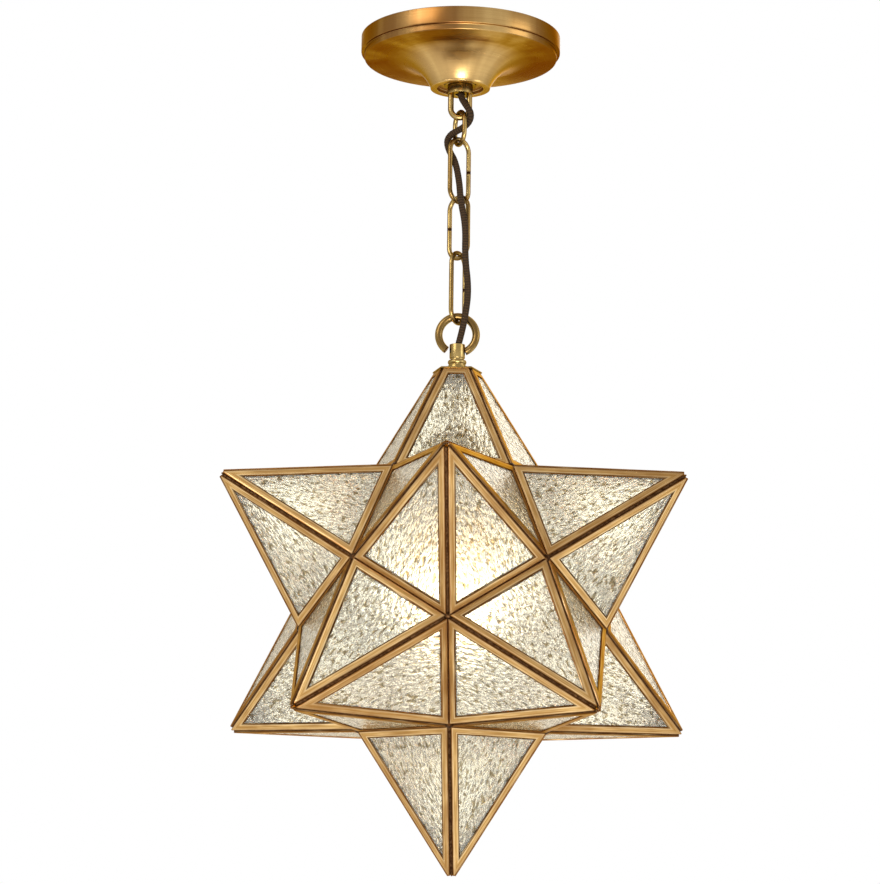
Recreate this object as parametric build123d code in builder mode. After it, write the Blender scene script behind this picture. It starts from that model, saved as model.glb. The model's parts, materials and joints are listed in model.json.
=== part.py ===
from build123d import *
from math import acos, asin, atan2, cos, pi, radians, sin, sqrt, tan
import os

# Moravian star pendant. Millimetres, +Z up. The origin is the middle of the mounting bar's
# slotted holes, on the ceiling plane. The star's front point is on -Y.

# --- ceiling fixing
bar_end_margin = 3.25
bar_width = 16.0
bar_thickness = 1.5
slot_spacing = 84.0
slot_width = 4.5
slot_travel = 5.0
ceiling_thread_radius = 5.0
ceiling_bore_radius = 3.2
nut_thickness = 3.0
nut_wall = 2.6
earth_screw_radius = 1.9
earth_screw_length = 7.0
earth_head_radius = 3.6
earth_head_height = 2.2
earth_screw_offset = 24.0

# --- canopy
canopy_radius = 60.0
canopy_rim_height = 10.0
canopy_step = 2.0
canopy_step_height = 3.5
canopy_wall = 0.8
canopy_dish_drop = 0.6
canopy_depth = 32.018
canopy_bell_angle = 84.0
canopy_foot_angle = 22.0
canopy_neck_radius = 18.0
canopy_neck_height = 1.0
canopy_lip_width = 4.2
canopy_recess = 2.5
washer_radius = 9.6
washer_thickness = 0.8
collar_radius = 7.6
collar_height = 5.3
collar_floor = 1.5
thread_play = 0.05

# --- loop, chain and ring, each measured at its wire's middle line
loop_wire = 3.5
loop_half_width = 5.55
loop_leg = 8.6
link_wire = 2.8
link_half_width = 7.5
short_half_width = 7.0
short_inner_length = 17.2
long_inner_lengths = (36.0, 34.6, 39.75)
link_gap = 0.15
link_seam = 0.3
link_angles = (64.2, -44.8, 41.2, -60.0)
link_seam_sides = (-1, 1, -1, 1)
ring_wire = 4.5
ring_radius = 11.1
ring_start_angle = -66.0
ring_gap_angle = 35.0

# --- neck coupling under the ring, from its top down
coupling_radius = 4.6
coupling_shank = 8.3
coupling_groove = 1.1
coupling_groove_depth = 0.6
coupling_bead_radius = 5.6
coupling_bead = 2.6
coupling_collar_radius = 5.9
coupling_collar = 2.4
coupling_over_ring_bottom = 5.2
coupling_thread = 4.6
cord_hole_radius = 3.0

# --- star
star_radius = 161.0
corner_radius = 95.06
cap_sides = 5
cap_turn = 18.0
cap_thickness = 1.0
cap_overhang = 0.4
cap_below_tip = 22.3
came_wall = 0.35
glass_thickness = 1.4
glass_play = 0.05
came_width = 4.5
came_web = 0.6
valley_inset = 0.2
ridge_play = 0.03
tip_cut = 5.2
pane_play = 0.4
seam_end_gap = 5.0
seam_floor = 0.25
seam_fill = 1.1

# --- lampholder and lamp
socket_thread_radius = 4.0
socket_bore_radius = 2.6
socket_drop = 32.0
socket_cap_height = 14.0
socket_hub_radius = 6.5
socket_hub_height = 4.0
socket_wall = 0.8
socket_radius = 17.5
socket_length = 44.0
socket_lap = 4.0
core_wall = 2.4
core_floor = 6.0
screw_shell_radius = 13.7
screw_shell_wall = 0.4
contact_radius = 3.0
contact_height = 2.0
lamp_base_radius = 13.0
lamp_base_length = 24.0
lamp_tip_radius = 4.5
lamp_tip_height = 3.0
lamp_neck_radius = 13.6
lamp_neck_length = 14.0
lamp_bulb_radius = 30.0
lamp_bulb_drop = 52.0
lamp_wall = 0.9

# --- access door at the back
door_azimuth = 144
hinge_barrel_radius = 1.6
hinge_pin_radius = 0.8
hinge_pin_play = 0.05
hinge_length = 30.0
hinge_knuckle_play = 0.2
hinge_leaf_thickness = 0.7
hinge_leaf_width = 3.0
hinge_lift = 0.4
hinge_leaf_gap = 0.3
pin_head_radius = 1.3
pin_head_height = 0.8
knob_radius = 2.6
knob_neck_radius = 1.2
knob_neck_length = 2.0
knob_seat = 0.26

# --- cord
cord_radius = 2.0
wire_hole_radius = 1.2

os.makedirs("parts", exist_ok=True)


def write(piece, name):
    piece.part.label = name
    export_step(piece.part, f"parts/{name}.step")


# ---------------------------------------------------------------- ceiling fixing
slot_length = slot_width + slot_travel
bar_length = slot_spacing + slot_length + 2 * bar_end_margin
with BuildPart() as mounting_bar:
    with BuildSketch(Plane.XY.offset(-bar_thickness)):
        SlotOverall(bar_length, bar_width)
        with Locations((-slot_spacing / 2, 0), (slot_spacing / 2, 0)):
            SlotOverall(slot_length, slot_width, mode=Mode.SUBTRACT)
        with Locations((0, 0)):
            Circle(ceiling_thread_radius + thread_play, mode=Mode.SUBTRACT)
        with Locations((earth_screw_offset, 0)):
            Circle(earth_screw_radius + thread_play, mode=Mode.SUBTRACT)
    extrude(amount=bar_thickness)
write(mounting_bar, "mounting_bar")

canopy_step_radius = canopy_radius - canopy_step
canopy_step_z = -canopy_rim_height - canopy_step_height
bell_top = radians(canopy_bell_angle)
bell_foot = radians(canopy_foot_angle)
bell_start_z = canopy_step_z - canopy_dish_drop
neck_bottom_z = -canopy_depth
neck_top_z = neck_bottom_z + canopy_neck_height
bell_radius = (bell_start_z - neck_top_z) / (sin(bell_top) - sin(bell_foot))
bell_centre_x = canopy_neck_radius + bell_radius * cos(bell_foot)
bell_centre_z = neck_top_z - bell_radius * sin(bell_foot)
lip_radius = canopy_neck_radius - canopy_lip_width
recess_z = neck_bottom_z + canopy_recess
recess_top_z = recess_z + canopy_wall
ceiling_hole_radius = ceiling_thread_radius + thread_play
inner_bell_radius = bell_radius + canopy_wall
inner_bell_foot = asin((recess_top_z - bell_centre_z) / inner_bell_radius)
inner_rim_radius = canopy_step_radius - canopy_wall


def bell_point(radius, angle):
    return bell_centre_x - radius * cos(angle), bell_centre_z + radius * sin(angle)


with BuildPart() as ceiling_canopy:
    with BuildSketch(Plane.XZ):
        with BuildLine():
            Polyline((inner_rim_radius, 0), (canopy_radius, 0), (canopy_radius, -canopy_rim_height))
            Line((canopy_radius, -canopy_rim_height), (canopy_step_radius, -canopy_rim_height))
            Line((canopy_step_radius, -canopy_rim_height), (canopy_step_radius, canopy_step_z))
            Line((canopy_step_radius, canopy_step_z), bell_point(bell_radius, bell_top))
            ThreePointArc(
                bell_point(bell_radius, bell_top),
                bell_point(bell_radius, (bell_top + bell_foot) / 2),
                bell_point(bell_radius, bell_foot),
            )
            Polyline(
                bell_point(bell_radius, bell_foot),
                (canopy_neck_radius, neck_bottom_z),
                (lip_radius, neck_bottom_z),
                (lip_radius, recess_z),
                (ceiling_hole_radius, recess_z),
                (ceiling_hole_radius, recess_top_z),
                bell_point(inner_bell_radius, inner_bell_foot),
            )
            ThreePointArc(
                bell_point(inner_bell_radius, inner_bell_foot),
                bell_point(inner_bell_radius, (inner_bell_foot + bell_top) / 2),
                bell_point(inner_bell_radius, bell_top),
            )
            Polyline(
                bell_point(inner_bell_radius, bell_top),
                (inner_rim_radius, canopy_step_z + canopy_wall),
                (inner_rim_radius, 0),
            )
        make_face()
    revolve(axis=Axis.Z)
write(ceiling_canopy, "ceiling_canopy")

washer_z = recess_z - washer_thickness
with BuildPart() as canopy_washer:
    with BuildSketch(Plane.XY.offset(washer_z)):
        Circle(washer_radius)
        Circle(ceiling_hole_radius, mode=Mode.SUBTRACT)
    extrude(amount=washer_thickness)
write(canopy_washer, "canopy_washer")

collar_z = washer_z - collar_height
nipple_bottom_z = collar_z + collar_floor
with BuildPart() as canopy_collar:
    with BuildSketch(Plane.XY.offset(collar_z)):
        Circle(collar_radius)
    extrude(amount=collar_height)
    fillet(canopy_collar.edges().filter_by(GeomType.CIRCLE), 0.5)
    with BuildSketch(Plane.XY.offset(collar_z)):
        Circle(cord_hole_radius)
    extrude(amount=collar_floor, mode=Mode.SUBTRACT)
    with BuildSketch(Plane.XY.offset(nipple_bottom_z)):
        Circle(ceiling_hole_radius)
    extrude(amount=collar_height - collar_floor, mode=Mode.SUBTRACT)
write(canopy_collar, "canopy_collar")

with BuildPart() as ceiling_nipple:
    with BuildSketch(Plane.XY.offset(nipple_bottom_z)):
        Circle(ceiling_thread_radius)
        Circle(ceiling_bore_radius, mode=Mode.SUBTRACT)
    extrude(amount=-nipple_bottom_z)
write(ceiling_nipple, "ceiling_nipple")


def hex_nut(top_z, hole_radius):
    with BuildPart() as nut:
        with BuildSketch(Plane.XY.offset(top_z)):
            RegularPolygon(hole_radius + nut_wall, 6, major_radius=False)
            Circle(hole_radius, mode=Mode.SUBTRACT)
        extrude(amount=-nut_thickness)
    return nut


write(hex_nut(-bar_thickness, ceiling_hole_radius), "bar_lock_nut")

with BuildPart() as earth_screw:
    with BuildSketch(Plane.XY.offset(-bar_thickness)):
        with Locations((earth_screw_offset, 0)):
            Circle(earth_head_radius)
    extrude(amount=-earth_head_height)
    with BuildSketch(Plane.XY.offset(-bar_thickness - earth_head_height)):
        with Locations((earth_screw_offset, 0)):
            Rectangle(2 * earth_head_radius, earth_head_height / 3)
    extrude(amount=earth_head_height / 3, mode=Mode.SUBTRACT)
    with BuildSketch(Plane.XY.offset(-bar_thickness)):
        with Locations((earth_screw_offset, 0)):
            Circle(earth_screw_radius)
    extrude(amount=bar_thickness)
write(earth_screw, "earth_screw")

# ---------------------------------------------------------------- loop and chain
loop_arc_z = collar_z - loop_leg
loop_bottom_z = loop_arc_z - loop_half_width
with BuildPart() as canopy_loop:
    with BuildLine(Plane.XZ):
        Line((-loop_half_width, collar_z), (-loop_half_width, loop_arc_z))
        CenterArc((0, loop_arc_z), loop_half_width, 180, 180)
        Line((loop_half_width, loop_arc_z), (loop_half_width, collar_z))
    with BuildSketch(Plane.XY.offset(collar_z)):
        with Locations((-loop_half_width, 0)):
            Circle(loop_wire / 2)
    sweep()
write(canopy_loop, "canopy_loop")


def link_plane(middle_z, angle):
    turn = radians(angle)
    return Plane(
        origin=(0, 0, middle_z),
        x_dir=(cos(turn), -sin(turn), 0),
        z_dir=(-sin(turn), -cos(turn), 0),
    )


# Each link hangs on the wire above it. Its wire is bent from one rod, whose ends meet in a seam.
hang_z = loop_bottom_z
hang_wire = loop_wire
link_inner_lengths = (short_inner_length,) + long_inner_lengths
for number, inner_length in enumerate(link_inner_lengths):
    half_width = short_half_width if number == 0 else link_half_width
    straight = inner_length + link_wire - 2 * half_width
    top_z = hang_z + (hang_wire + link_wire) / 2 + link_gap
    bottom_z = top_z - inner_length - link_wire
    wire_plane = link_plane((top_z + bottom_z) / 2, link_angles[number])
    side = link_seam_sides[number]
    start_angle = 0 if side > 0 else 180
    with BuildPart() as chain_link:
        with BuildLine(wire_plane) as wire_line:
            Line((side * half_width, link_seam / 2), (side * half_width, straight / 2))
            CenterArc((0, straight / 2), half_width, start_angle, side * 180)
            Line((-side * half_width, straight / 2), (-side * half_width, -straight / 2))
            CenterArc((0, -straight / 2), half_width, start_angle + 180, side * 180)
            Line((side * half_width, -straight / 2), (side * half_width, -link_seam / 2))
        with BuildSketch(Plane(origin=wire_line.line @ 0, z_dir=wire_line.line % 0)):
            Circle(link_wire / 2)
        sweep()
    write(chain_link, f"chain_link_{number + 1}")
    print(f"chain link {number + 1}: middle of its lower bend at z {bottom_z:.3f}")
    hang_z = bottom_z
    hang_wire = link_wire

# ---------------------------------------------------------------- ring and neck coupling
ring_top_z = hang_z + (hang_wire + ring_wire) / 2 + link_gap
ring_z = ring_top_z - ring_radius
coupling_top_z = ring_z - ring_radius + coupling_over_ring_bottom
shank_z = coupling_top_z - coupling_shank
bead_top_z = shank_z - coupling_groove
bead_bottom_z = bead_top_z - coupling_bead
foot_top_z = bead_bottom_z - coupling_groove
cap_top_z = foot_top_z - coupling_collar
groove_radius = coupling_radius - coupling_groove_depth
low_groove_radius = coupling_bead_radius - coupling_groove_depth
socket_nipple_top_z = cap_top_z + coupling_thread
socket_hole_radius = socket_thread_radius + thread_play
with BuildPart() as neck_coupling:
    with BuildSketch(Plane.XZ):
        with BuildLine():
            Polyline(
                (cord_hole_radius, coupling_top_z),
                (coupling_radius, coupling_top_z),
                (coupling_radius, shank_z),
                (groove_radius, shank_z),
                (groove_radius, bead_top_z),
                (coupling_radius, bead_top_z),
            )
            ThreePointArc(
                (coupling_radius, bead_top_z),
                (coupling_bead_radius, (bead_top_z + bead_bottom_z) / 2),
                (low_groove_radius, bead_bottom_z),
            )
            Polyline(
                (low_groove_radius, bead_bottom_z),
                (low_groove_radius, foot_top_z),
                (coupling_collar_radius, foot_top_z),
                (coupling_collar_radius, cap_top_z),
                (socket_hole_radius, cap_top_z),
                (socket_hole_radius, socket_nipple_top_z),
                (cord_hole_radius, socket_nipple_top_z),
                (cord_hole_radius, coupling_top_z),
            )
        make_face()
    revolve(axis=Axis.Z)
write(neck_coupling, "neck_coupling")

ring_end_angle = 270.0 - ring_gap_angle
with BuildPart() as star_ring:
    with BuildLine(Plane.XZ) as ring_line:
        CenterArc((0, ring_z), ring_radius, ring_start_angle, ring_end_angle - ring_start_angle)
    with BuildSketch(Plane(origin=ring_line.line @ 0, z_dir=ring_line.line % 0)):
        Circle(ring_wire / 2)
    sweep()
    with BuildSketch(Plane.XY.offset(shank_z)):
        Circle(coupling_radius)
    extrude(amount=coupling_shank, mode=Mode.SUBTRACT)
write(star_ring, "star_ring")

# ---------------------------------------------------------------- star layout
cap_bottom_z = cap_top_z - cap_thickness
star_z = cap_bottom_z + cap_below_tip - star_radius
star_centre = Vector(0, 0, star_z)
ring_height = 1 / sqrt(5)


def pointing(azimuth, height):
    reach = sqrt(1 - height**2)
    turn = radians(azimuth)
    return Vector(reach * sin(turn), -reach * cos(turn), height)


points = {"top_point": Vector(0, 0, 1)}
for number in range(5):
    points[f"upper_point_{number + 1}"] = pointing(72 * number, ring_height)
for number in range(5):
    points[f"lower_point_{number + 1}"] = pointing(36 + 72 * number, -ring_height)
points["bottom_point"] = Vector(0, 0, -1)
door_name = f"upper_point_{door_azimuth // 72 + 1}"


# The five neighbours of a point, in turning order about its axis seen from outside.
def neighbours(name):
    axis = points[name]
    across = Plane(origin=(0, 0, 0), z_dir=axis)

    def turn(other):
        flat = across.to_local_coords(points[other])
        return atan2(flat.Y, flat.X)

    return sorted((other for other in points if other != name and points[other].dot(axis) > 0), key=turn)


def shared_corner(first, second, third):
    middle = points[first] + points[second] + points[third]
    return star_centre + middle.normalized() * corner_radius


# A leaf is one triangular face: X along its valley edge, Y up to the tip, Z outward.
def leaf_edge(name, number):
    around = neighbours(name)
    left = shared_corner(name, around[number], around[number - 1])
    right = shared_corner(name, around[number], around[(number + 1) % 5])
    return left, right


def leaf_plane(name, number):
    left, right = leaf_edge(name, number)
    middle = (left + right) / 2
    along = (right - left).normalized()
    rise = (star_centre + points[name] * star_radius - middle).normalized()
    return Plane(origin=middle, x_dir=along, z_dir=along.cross(rise))


first_left, first_right = leaf_edge("bottom_point", 0)
first_leaf = leaf_plane("bottom_point", 0)
next_leaf = leaf_plane("bottom_point", 1)
leaf_base = (first_right - first_left).length
leaf_height = (star_centre + points["bottom_point"] * star_radius - first_leaf.origin).length
half_tip = atan2(leaf_base / 2, leaf_height)
leaf_turn = acos(first_leaf.z_dir.dot(next_leaf.z_dir))
leaf_depth = 2 * came_wall + 2 * glass_play + glass_thickness
ridge_inset = leaf_depth * tan(leaf_turn / 2) + ridge_play
ridge_length = (star_centre + points["bottom_point"] * star_radius - first_left).length
print(f"leaf: base {leaf_base:.2f}, height {leaf_height:.2f}, ridge inset {ridge_inset:.3f}")

# The top point is cut off where the cap plate lies on it.
top_leaf = leaf_plane("top_point", 0)
cap_cut = (cap_bottom_z - top_leaf.origin.Z) / top_leaf.y_dir.Z


def leaf_outline(base_inset, side_inset, top):
    def half_width(y):
        return (leaf_height - y) * tan(half_tip) - side_inset / cos(half_tip)

    base = half_width(base_inset)
    corners = [(-base, base_inset), (base, base_inset)]
    if half_width(top) > 0:
        return corners + [(half_width(top), top), (-half_width(top), top)]
    return corners + [(0, leaf_height - side_inset / sin(half_tip))]


def leaf_shape(inset, top, mode=Mode.ADD):
    outline = leaf_outline(valley_inset + inset, ridge_inset + inset, top - inset)
    Polygon(*outline, align=None, mode=mode)


def came_frame(top):
    with BuildPart() as frame:
        with BuildSketch(Plane.XY):
            leaf_shape(0, top)
            leaf_shape(came_width, top, Mode.SUBTRACT)
        extrude(amount=-leaf_depth)
        with BuildSketch(Plane.XY.offset(-came_wall)):
            leaf_shape(came_web, top)
        extrude(amount=2 * came_wall - leaf_depth, mode=Mode.SUBTRACT)
    return frame


def glass_pane(top):
    with BuildPart() as pane:
        with BuildSketch(Plane.XY.offset(-came_wall - glass_play)):
            leaf_shape(came_web + pane_play, top)
        extrude(amount=-glass_thickness)
    return pane


whole_frame = came_frame(leaf_height - tip_cut)
whole_pane = glass_pane(leaf_height - tip_cut)
cut_frame = came_frame(cap_cut)
cut_pane = glass_pane(cap_cut)

for name in points:
    frame_leaf = cut_frame if name == "top_point" else whole_frame
    pane_leaf = cut_pane if name == "top_point" else whole_pane
    leaf_places = [leaf_plane(name, number).location for number in range(5)]
    with BuildPart() as point_frame:
        with Locations(*leaf_places):
            add(frame_leaf.part)
    write(point_frame, f"{name}_frame")
    with BuildPart() as point_glass:
        with Locations(*leaf_places):
            add(pane_leaf.part)
    write(point_glass, f"{name}_glass")

# ---------------------------------------------------------------- cap plate and solder seams
top_left, top_right = leaf_edge("top_point", 0)
tip_z = star_z + star_radius
pyramid_corner = (top_left - Vector(0, 0, top_left.Z)).length
cap_corner_radius = pyramid_corner * cap_below_tip / (tip_z - top_left.Z) + cap_overhang
with BuildPart() as cap_plate:
    with BuildSketch(Plane.XY.offset(cap_bottom_z)):
        RegularPolygon(cap_corner_radius, cap_sides, rotation=cap_turn)
        Circle(socket_hole_radius, mode=Mode.SUBTRACT)
    extrude(amount=cap_thickness)
write(cap_plate, "cap_plate")


# Solder lies in the groove along a ridge, and behind the valley between two points.
# Its section is drawn with Y along the outward middle line of the two leaves.
def seam(side_inset, opening, length):
    along = Vector(cos(opening), -sin(opening))
    inward = Vector(-sin(opening), -cos(opening))
    top = along * side_inset + inward * seam_fill
    bottom = along * side_inset + inward * (leaf_depth - seam_floor)
    corners = [(top.X, top.Y), (bottom.X, bottom.Y), (-bottom.X, bottom.Y), (-top.X, top.Y)]
    with BuildPart() as strip:
        with BuildSketch(Plane.XY):
            Polygon(*corners, align=None)
        extrude(amount=length)
    return strip


def seam_place(start, end, first_normal, second_normal):
    run = (end - start).normalized()
    outward = (first_normal + second_normal).normalized()
    origin = start + run * seam_end_gap
    return Plane(origin=origin, x_dir=outward.cross(run), z_dir=run).location


def ridge_places(name):
    places = []
    for number in range(5):
        leaf = leaf_plane(name, number)
        next_one = leaf_plane(name, (number + 1) % 5)
        corner = leaf_edge(name, number)[1]
        tip = star_centre + points[name] * star_radius
        places.append(seam_place(corner, tip, leaf.z_dir, next_one.z_dir))
    return places


def valley_places(name):
    places = []
    for number, other in enumerate(neighbours(name)):
        if door_name in (name, other) or list(points).index(name) > list(points).index(other):
            continue
        left, right = leaf_edge(name, number)
        far_leaf = leaf_plane(other, neighbours(other).index(name))
        places.append(seam_place(left, right, leaf_plane(name, number).z_dir, far_leaf.z_dir))
    return places


door_hinge_number = neighbours(door_name).index("top_point")
door_leaf = leaf_plane(door_name, door_hinge_number)
fixed_leaf = leaf_plane("top_point", neighbours("top_point").index(door_name))
valley_turn = acos(door_leaf.z_dir.dot(fixed_leaf.z_dir))
ridge_seam = seam(ridge_inset, leaf_turn / 2, ridge_length - 2 * seam_end_gap - tip_cut)
cut_ridge_length = ridge_length * (1 - cap_below_tip / (tip_z - top_left.Z))
cut_ridge_seam = seam(ridge_inset, leaf_turn / 2, cut_ridge_length - 2 * seam_end_gap)
valley_seam = seam(valley_inset, -valley_turn / 2, leaf_base - 2 * seam_end_gap)
fixed_points = [name for name in points if name not in (door_name, "top_point")]
with BuildPart() as solder_seams:
    with Locations(*[place for name in fixed_points for place in ridge_places(name)]):
        add(ridge_seam.part)
    with Locations(*ridge_places("top_point")):
        add(cut_ridge_seam.part)
    with Locations(*[place for name in points for place in valley_places(name)]):
        add(valley_seam.part)
write(solder_seams, "solder_seams")
with BuildPart() as door_solder_seams:
    with Locations(*ridge_places(door_name)):
        add(ridge_seam.part)
write(door_solder_seams, "door_solder_seams")

# ---------------------------------------------------------------- lampholder
socket_top_z = cap_bottom_z - socket_drop
with BuildPart() as socket_nipple:
    with BuildSketch(Plane.XY.offset(socket_top_z)):
        Circle(socket_thread_radius)
        Circle(socket_bore_radius, mode=Mode.SUBTRACT)
    extrude(amount=socket_nipple_top_z - socket_top_z)
write(socket_nipple, "socket_nipple")
write(hex_nut(cap_bottom_z, socket_hole_radius), "cap_lock_nut")

# The cap screws onto the nipple's lower end and closes the top of the shell.
hub_bottom_z = socket_top_z - socket_hub_height
socket_cap_bottom_z = socket_top_z - socket_cap_height
shell_top_z = socket_cap_bottom_z + socket_lap
shell_outer_radius = socket_radius - socket_wall
with BuildPart() as socket_cap:
    with BuildSketch(Plane.XZ):
        with BuildLine():
            Polyline(
                (wire_hole_radius, socket_top_z),
                (socket_hub_radius, socket_top_z),
                (socket_hub_radius, hub_bottom_z),
                (socket_radius, shell_top_z + socket_wall),
                (socket_radius, socket_cap_bottom_z),
                (shell_outer_radius, socket_cap_bottom_z),
                (shell_outer_radius, shell_top_z),
                (socket_hub_radius, hub_bottom_z - socket_wall),
                (wire_hole_radius, hub_bottom_z - socket_wall),
                (wire_hole_radius, socket_top_z),
            )
        make_face()
    revolve(axis=Axis.Z)
write(socket_cap, "socket_cap")

shell_bottom_z = shell_top_z - socket_length
core_outer_radius = shell_outer_radius - socket_wall
with BuildPart() as socket_shell:
    with BuildSketch(Plane.XY.offset(shell_bottom_z)):
        Circle(shell_outer_radius)
        Circle(core_outer_radius, mode=Mode.SUBTRACT)
    extrude(amount=socket_length)
write(socket_shell, "socket_shell")

core_floor_z = shell_top_z - core_floor
with BuildPart() as socket_core:
    with BuildSketch(Plane.XY.offset(shell_bottom_z)):
        Circle(core_outer_radius)
    extrude(amount=socket_length)
    with BuildSketch(Plane.XY.offset(shell_bottom_z)):
        Circle(screw_shell_radius)
    extrude(amount=socket_length - core_floor, mode=Mode.SUBTRACT)
write(socket_core, "socket_core")
print(f"socket core wall {core_outer_radius - screw_shell_radius:.2f}")

with BuildPart() as screw_shell:
    with BuildSketch(Plane.XY.offset(shell_bottom_z + core_wall)):
        Circle(screw_shell_radius)
        Circle(screw_shell_radius - screw_shell_wall, mode=Mode.SUBTRACT)
    extrude(amount=socket_length - core_floor - core_wall)
write(screw_shell, "screw_shell")

with BuildPart() as centre_contact:
    with BuildSketch(Plane.XY.offset(core_floor_z)):
        Circle(contact_radius)
    extrude(amount=-contact_height)
write(centre_contact, "centre_contact")

# ---------------------------------------------------------------- lamp
lamp_top_z = core_floor_z - contact_height
lamp_base_top_z = lamp_top_z - lamp_tip_height
lamp_base_bottom_z = lamp_base_top_z - lamp_base_length
with BuildPart() as lamp_base:
    with BuildSketch(Plane.XY.offset(lamp_base_bottom_z)):
        Circle(lamp_base_radius)
    extrude(amount=lamp_base_length)
    with BuildSketch(Plane.XY.offset(lamp_base_top_z)):
        Circle(lamp_base_radius)
    with BuildSketch(Plane.XY.offset(lamp_top_z)):
        Circle(lamp_tip_radius)
    loft()
write(lamp_base, "lamp_base")

lamp_centre_z = lamp_base_bottom_z - lamp_bulb_drop
neck_end_z = lamp_base_bottom_z - lamp_neck_length
shoulder = Vector(lamp_bulb_radius * cos(pi / 4), lamp_centre_z + lamp_bulb_radius * sin(pi / 4))
with BuildPart() as lamp_glass:
    with BuildSketch(Plane.XZ):
        with BuildLine():
            Line((0, lamp_base_bottom_z), (lamp_base_radius, lamp_base_bottom_z))
            Line((lamp_base_radius, lamp_base_bottom_z), (lamp_neck_radius, neck_end_z))
            Line((lamp_neck_radius, neck_end_z), (shoulder.X, shoulder.Y))
            CenterArc((0, lamp_centre_z), lamp_bulb_radius, 45, -135)
            Line((0, lamp_centre_z - lamp_bulb_radius), (0, lamp_base_bottom_z))
        make_face()
    revolve(axis=Axis.Z)
    lamp_mouth = lamp_glass.faces().sort_by(Axis.Z)[-1]
    offset(amount=-lamp_wall, openings=lamp_mouth)
write(lamp_glass, "lamp_glass")

# ---------------------------------------------------------------- access door at the back
# The barrel lies in the valley under the top point, clear of both leaves.
# Its section is drawn with Y outward and X towards the door.
half_valley = pi / 2 - valley_turn / 2
barrel_height = hinge_barrel_radius + hinge_lift
hinge_run = door_leaf.x_dir
hinge_outward = (door_leaf.z_dir + fixed_leaf.z_dir).normalized()
hinge_middle = door_leaf.origin + hinge_outward * (barrel_height / sin(half_valley))
towards_door = door_leaf.y_dir - hinge_outward * door_leaf.y_dir.dot(hinge_outward)
hinge_side = towards_door.normalized()
hinge_start = hinge_middle - hinge_side.cross(hinge_outward) * (hinge_length / 2)
hinge_plane = Plane(origin=hinge_start, x_dir=hinge_side, z_dir=hinge_side.cross(hinge_outward))
knuckle_length = hinge_length / 3
hinge_bore = hinge_pin_radius + hinge_pin_play


def hinge_leaf(side, knuckles):
    along = Vector(side * sin(half_valley), cos(half_valley))
    outward = Vector(-side * cos(half_valley), sin(half_valley))
    foot = outward * -barrel_height
    plate_start = hinge_barrel_radius + hinge_leaf_gap

    def strip(start, end):
        corners = [
            foot + along * start,
            foot + along * end,
            foot + along * end + outward * hinge_leaf_thickness,
            foot + along * start + outward * hinge_leaf_thickness,
        ]
        return [(corner.X, corner.Y) for corner in corners]

    with BuildPart() as leaf:
        with BuildSketch(hinge_plane):
            Polygon(*strip(plate_start, plate_start + hinge_leaf_width), align=None)
        extrude(amount=hinge_length)
        for number in knuckles:
            start = number * knuckle_length + (hinge_knuckle_play / 2 if number else 0)
            with BuildSketch(hinge_plane.offset(start)):
                Circle(hinge_barrel_radius)
                Polygon(*strip(0, plate_start), align=None)
                Circle(hinge_bore, mode=Mode.SUBTRACT)
            end = (number + 1) * knuckle_length - (hinge_knuckle_play / 2 if number < 2 else 0)
            extrude(amount=end - start)
    return leaf


write(hinge_leaf(-1, (0, 2)), "hinge_fixed_leaf")
write(hinge_leaf(1, (1,)), "hinge_door_leaf")
with BuildPart() as hinge_pin:
    with BuildSketch(hinge_plane.offset(-pin_head_height)):
        Circle(pin_head_radius)
    extrude(amount=pin_head_height)
    with BuildSketch(hinge_plane):
        Circle(hinge_pin_radius)
    extrude(amount=hinge_length)
    with BuildSketch(hinge_plane.offset(hinge_length)):
        Circle(pin_head_radius)
    extrude(amount=pin_head_height)
write(hinge_pin, "hinge_pin")
hinge_axis = hinge_plane.z_dir
print(f"door hinge at {tuple(round(value, 4) for value in hinge_middle)}")
print(f"door hinge axis {tuple(round(value, 6) for value in hinge_axis)}")

knob_leaf = leaf_plane(door_name, (door_hinge_number + 2) % 5)
knob_foot = knob_leaf.origin + knob_leaf.y_dir * (valley_inset + came_width / 2)
knob_plane = Plane(origin=knob_foot, x_dir=knob_leaf.x_dir, z_dir=knob_leaf.z_dir)
with BuildPart() as door_knob:
    with BuildSketch(knob_plane):
        Circle(knob_neck_radius)
    extrude(amount=knob_neck_length)
    with Locations(knob_plane.offset(knob_neck_length + knob_radius - knob_seat).location):
        Sphere(knob_radius)
write(door_knob, "door_knob")

# ---------------------------------------------------------------- cord
# It leaves the collar, weaves once through the short link and hangs in front of the others.
cord_points = [
    (0, 0, -1),
    (0.3, 0.1, -12),
    (-0.2, 0.2, -24),
    (0.1, 0.1, -36.5),
    (3.8, -4.8, -43.5),
    (7.2, -5.6, -49),
    (5.6, -2.6, -54),
    (0.2, 0.8, -57),
    (-5.4, 3.4, -59),
    (-8, 3.4, -63.5),
    (-6.4, 1.4, -70),
    (-2.2, -2.4, -78),
    (0.4, -6.2, -92),
    (1.2, -8.6, -103),
    (4.6, -9.6, -120),
    (4.2, -8.6, -138),
    (6.6, -5.6, -157),
    (4.8, -5.4, -173),
    (2.4, -1.4, -183),
    (0.2, 0.2, -191),
    (0.1, -0.2, -204),
    (0, 0, -217),
    (0, 0, socket_top_z),
]


def corner_radii(route):
    radii = []
    for before, corner, after in zip(route, route[1:], route[2:]):
        arriving = Vector(*corner) - Vector(*before)
        leaving = Vector(*after) - Vector(*corner)
        half_turn = radians(arriving.get_angle(leaving)) / 2
        radii.append(0.45 * min(arriving.length, leaving.length) / tan(half_turn))
    return radii


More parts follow.
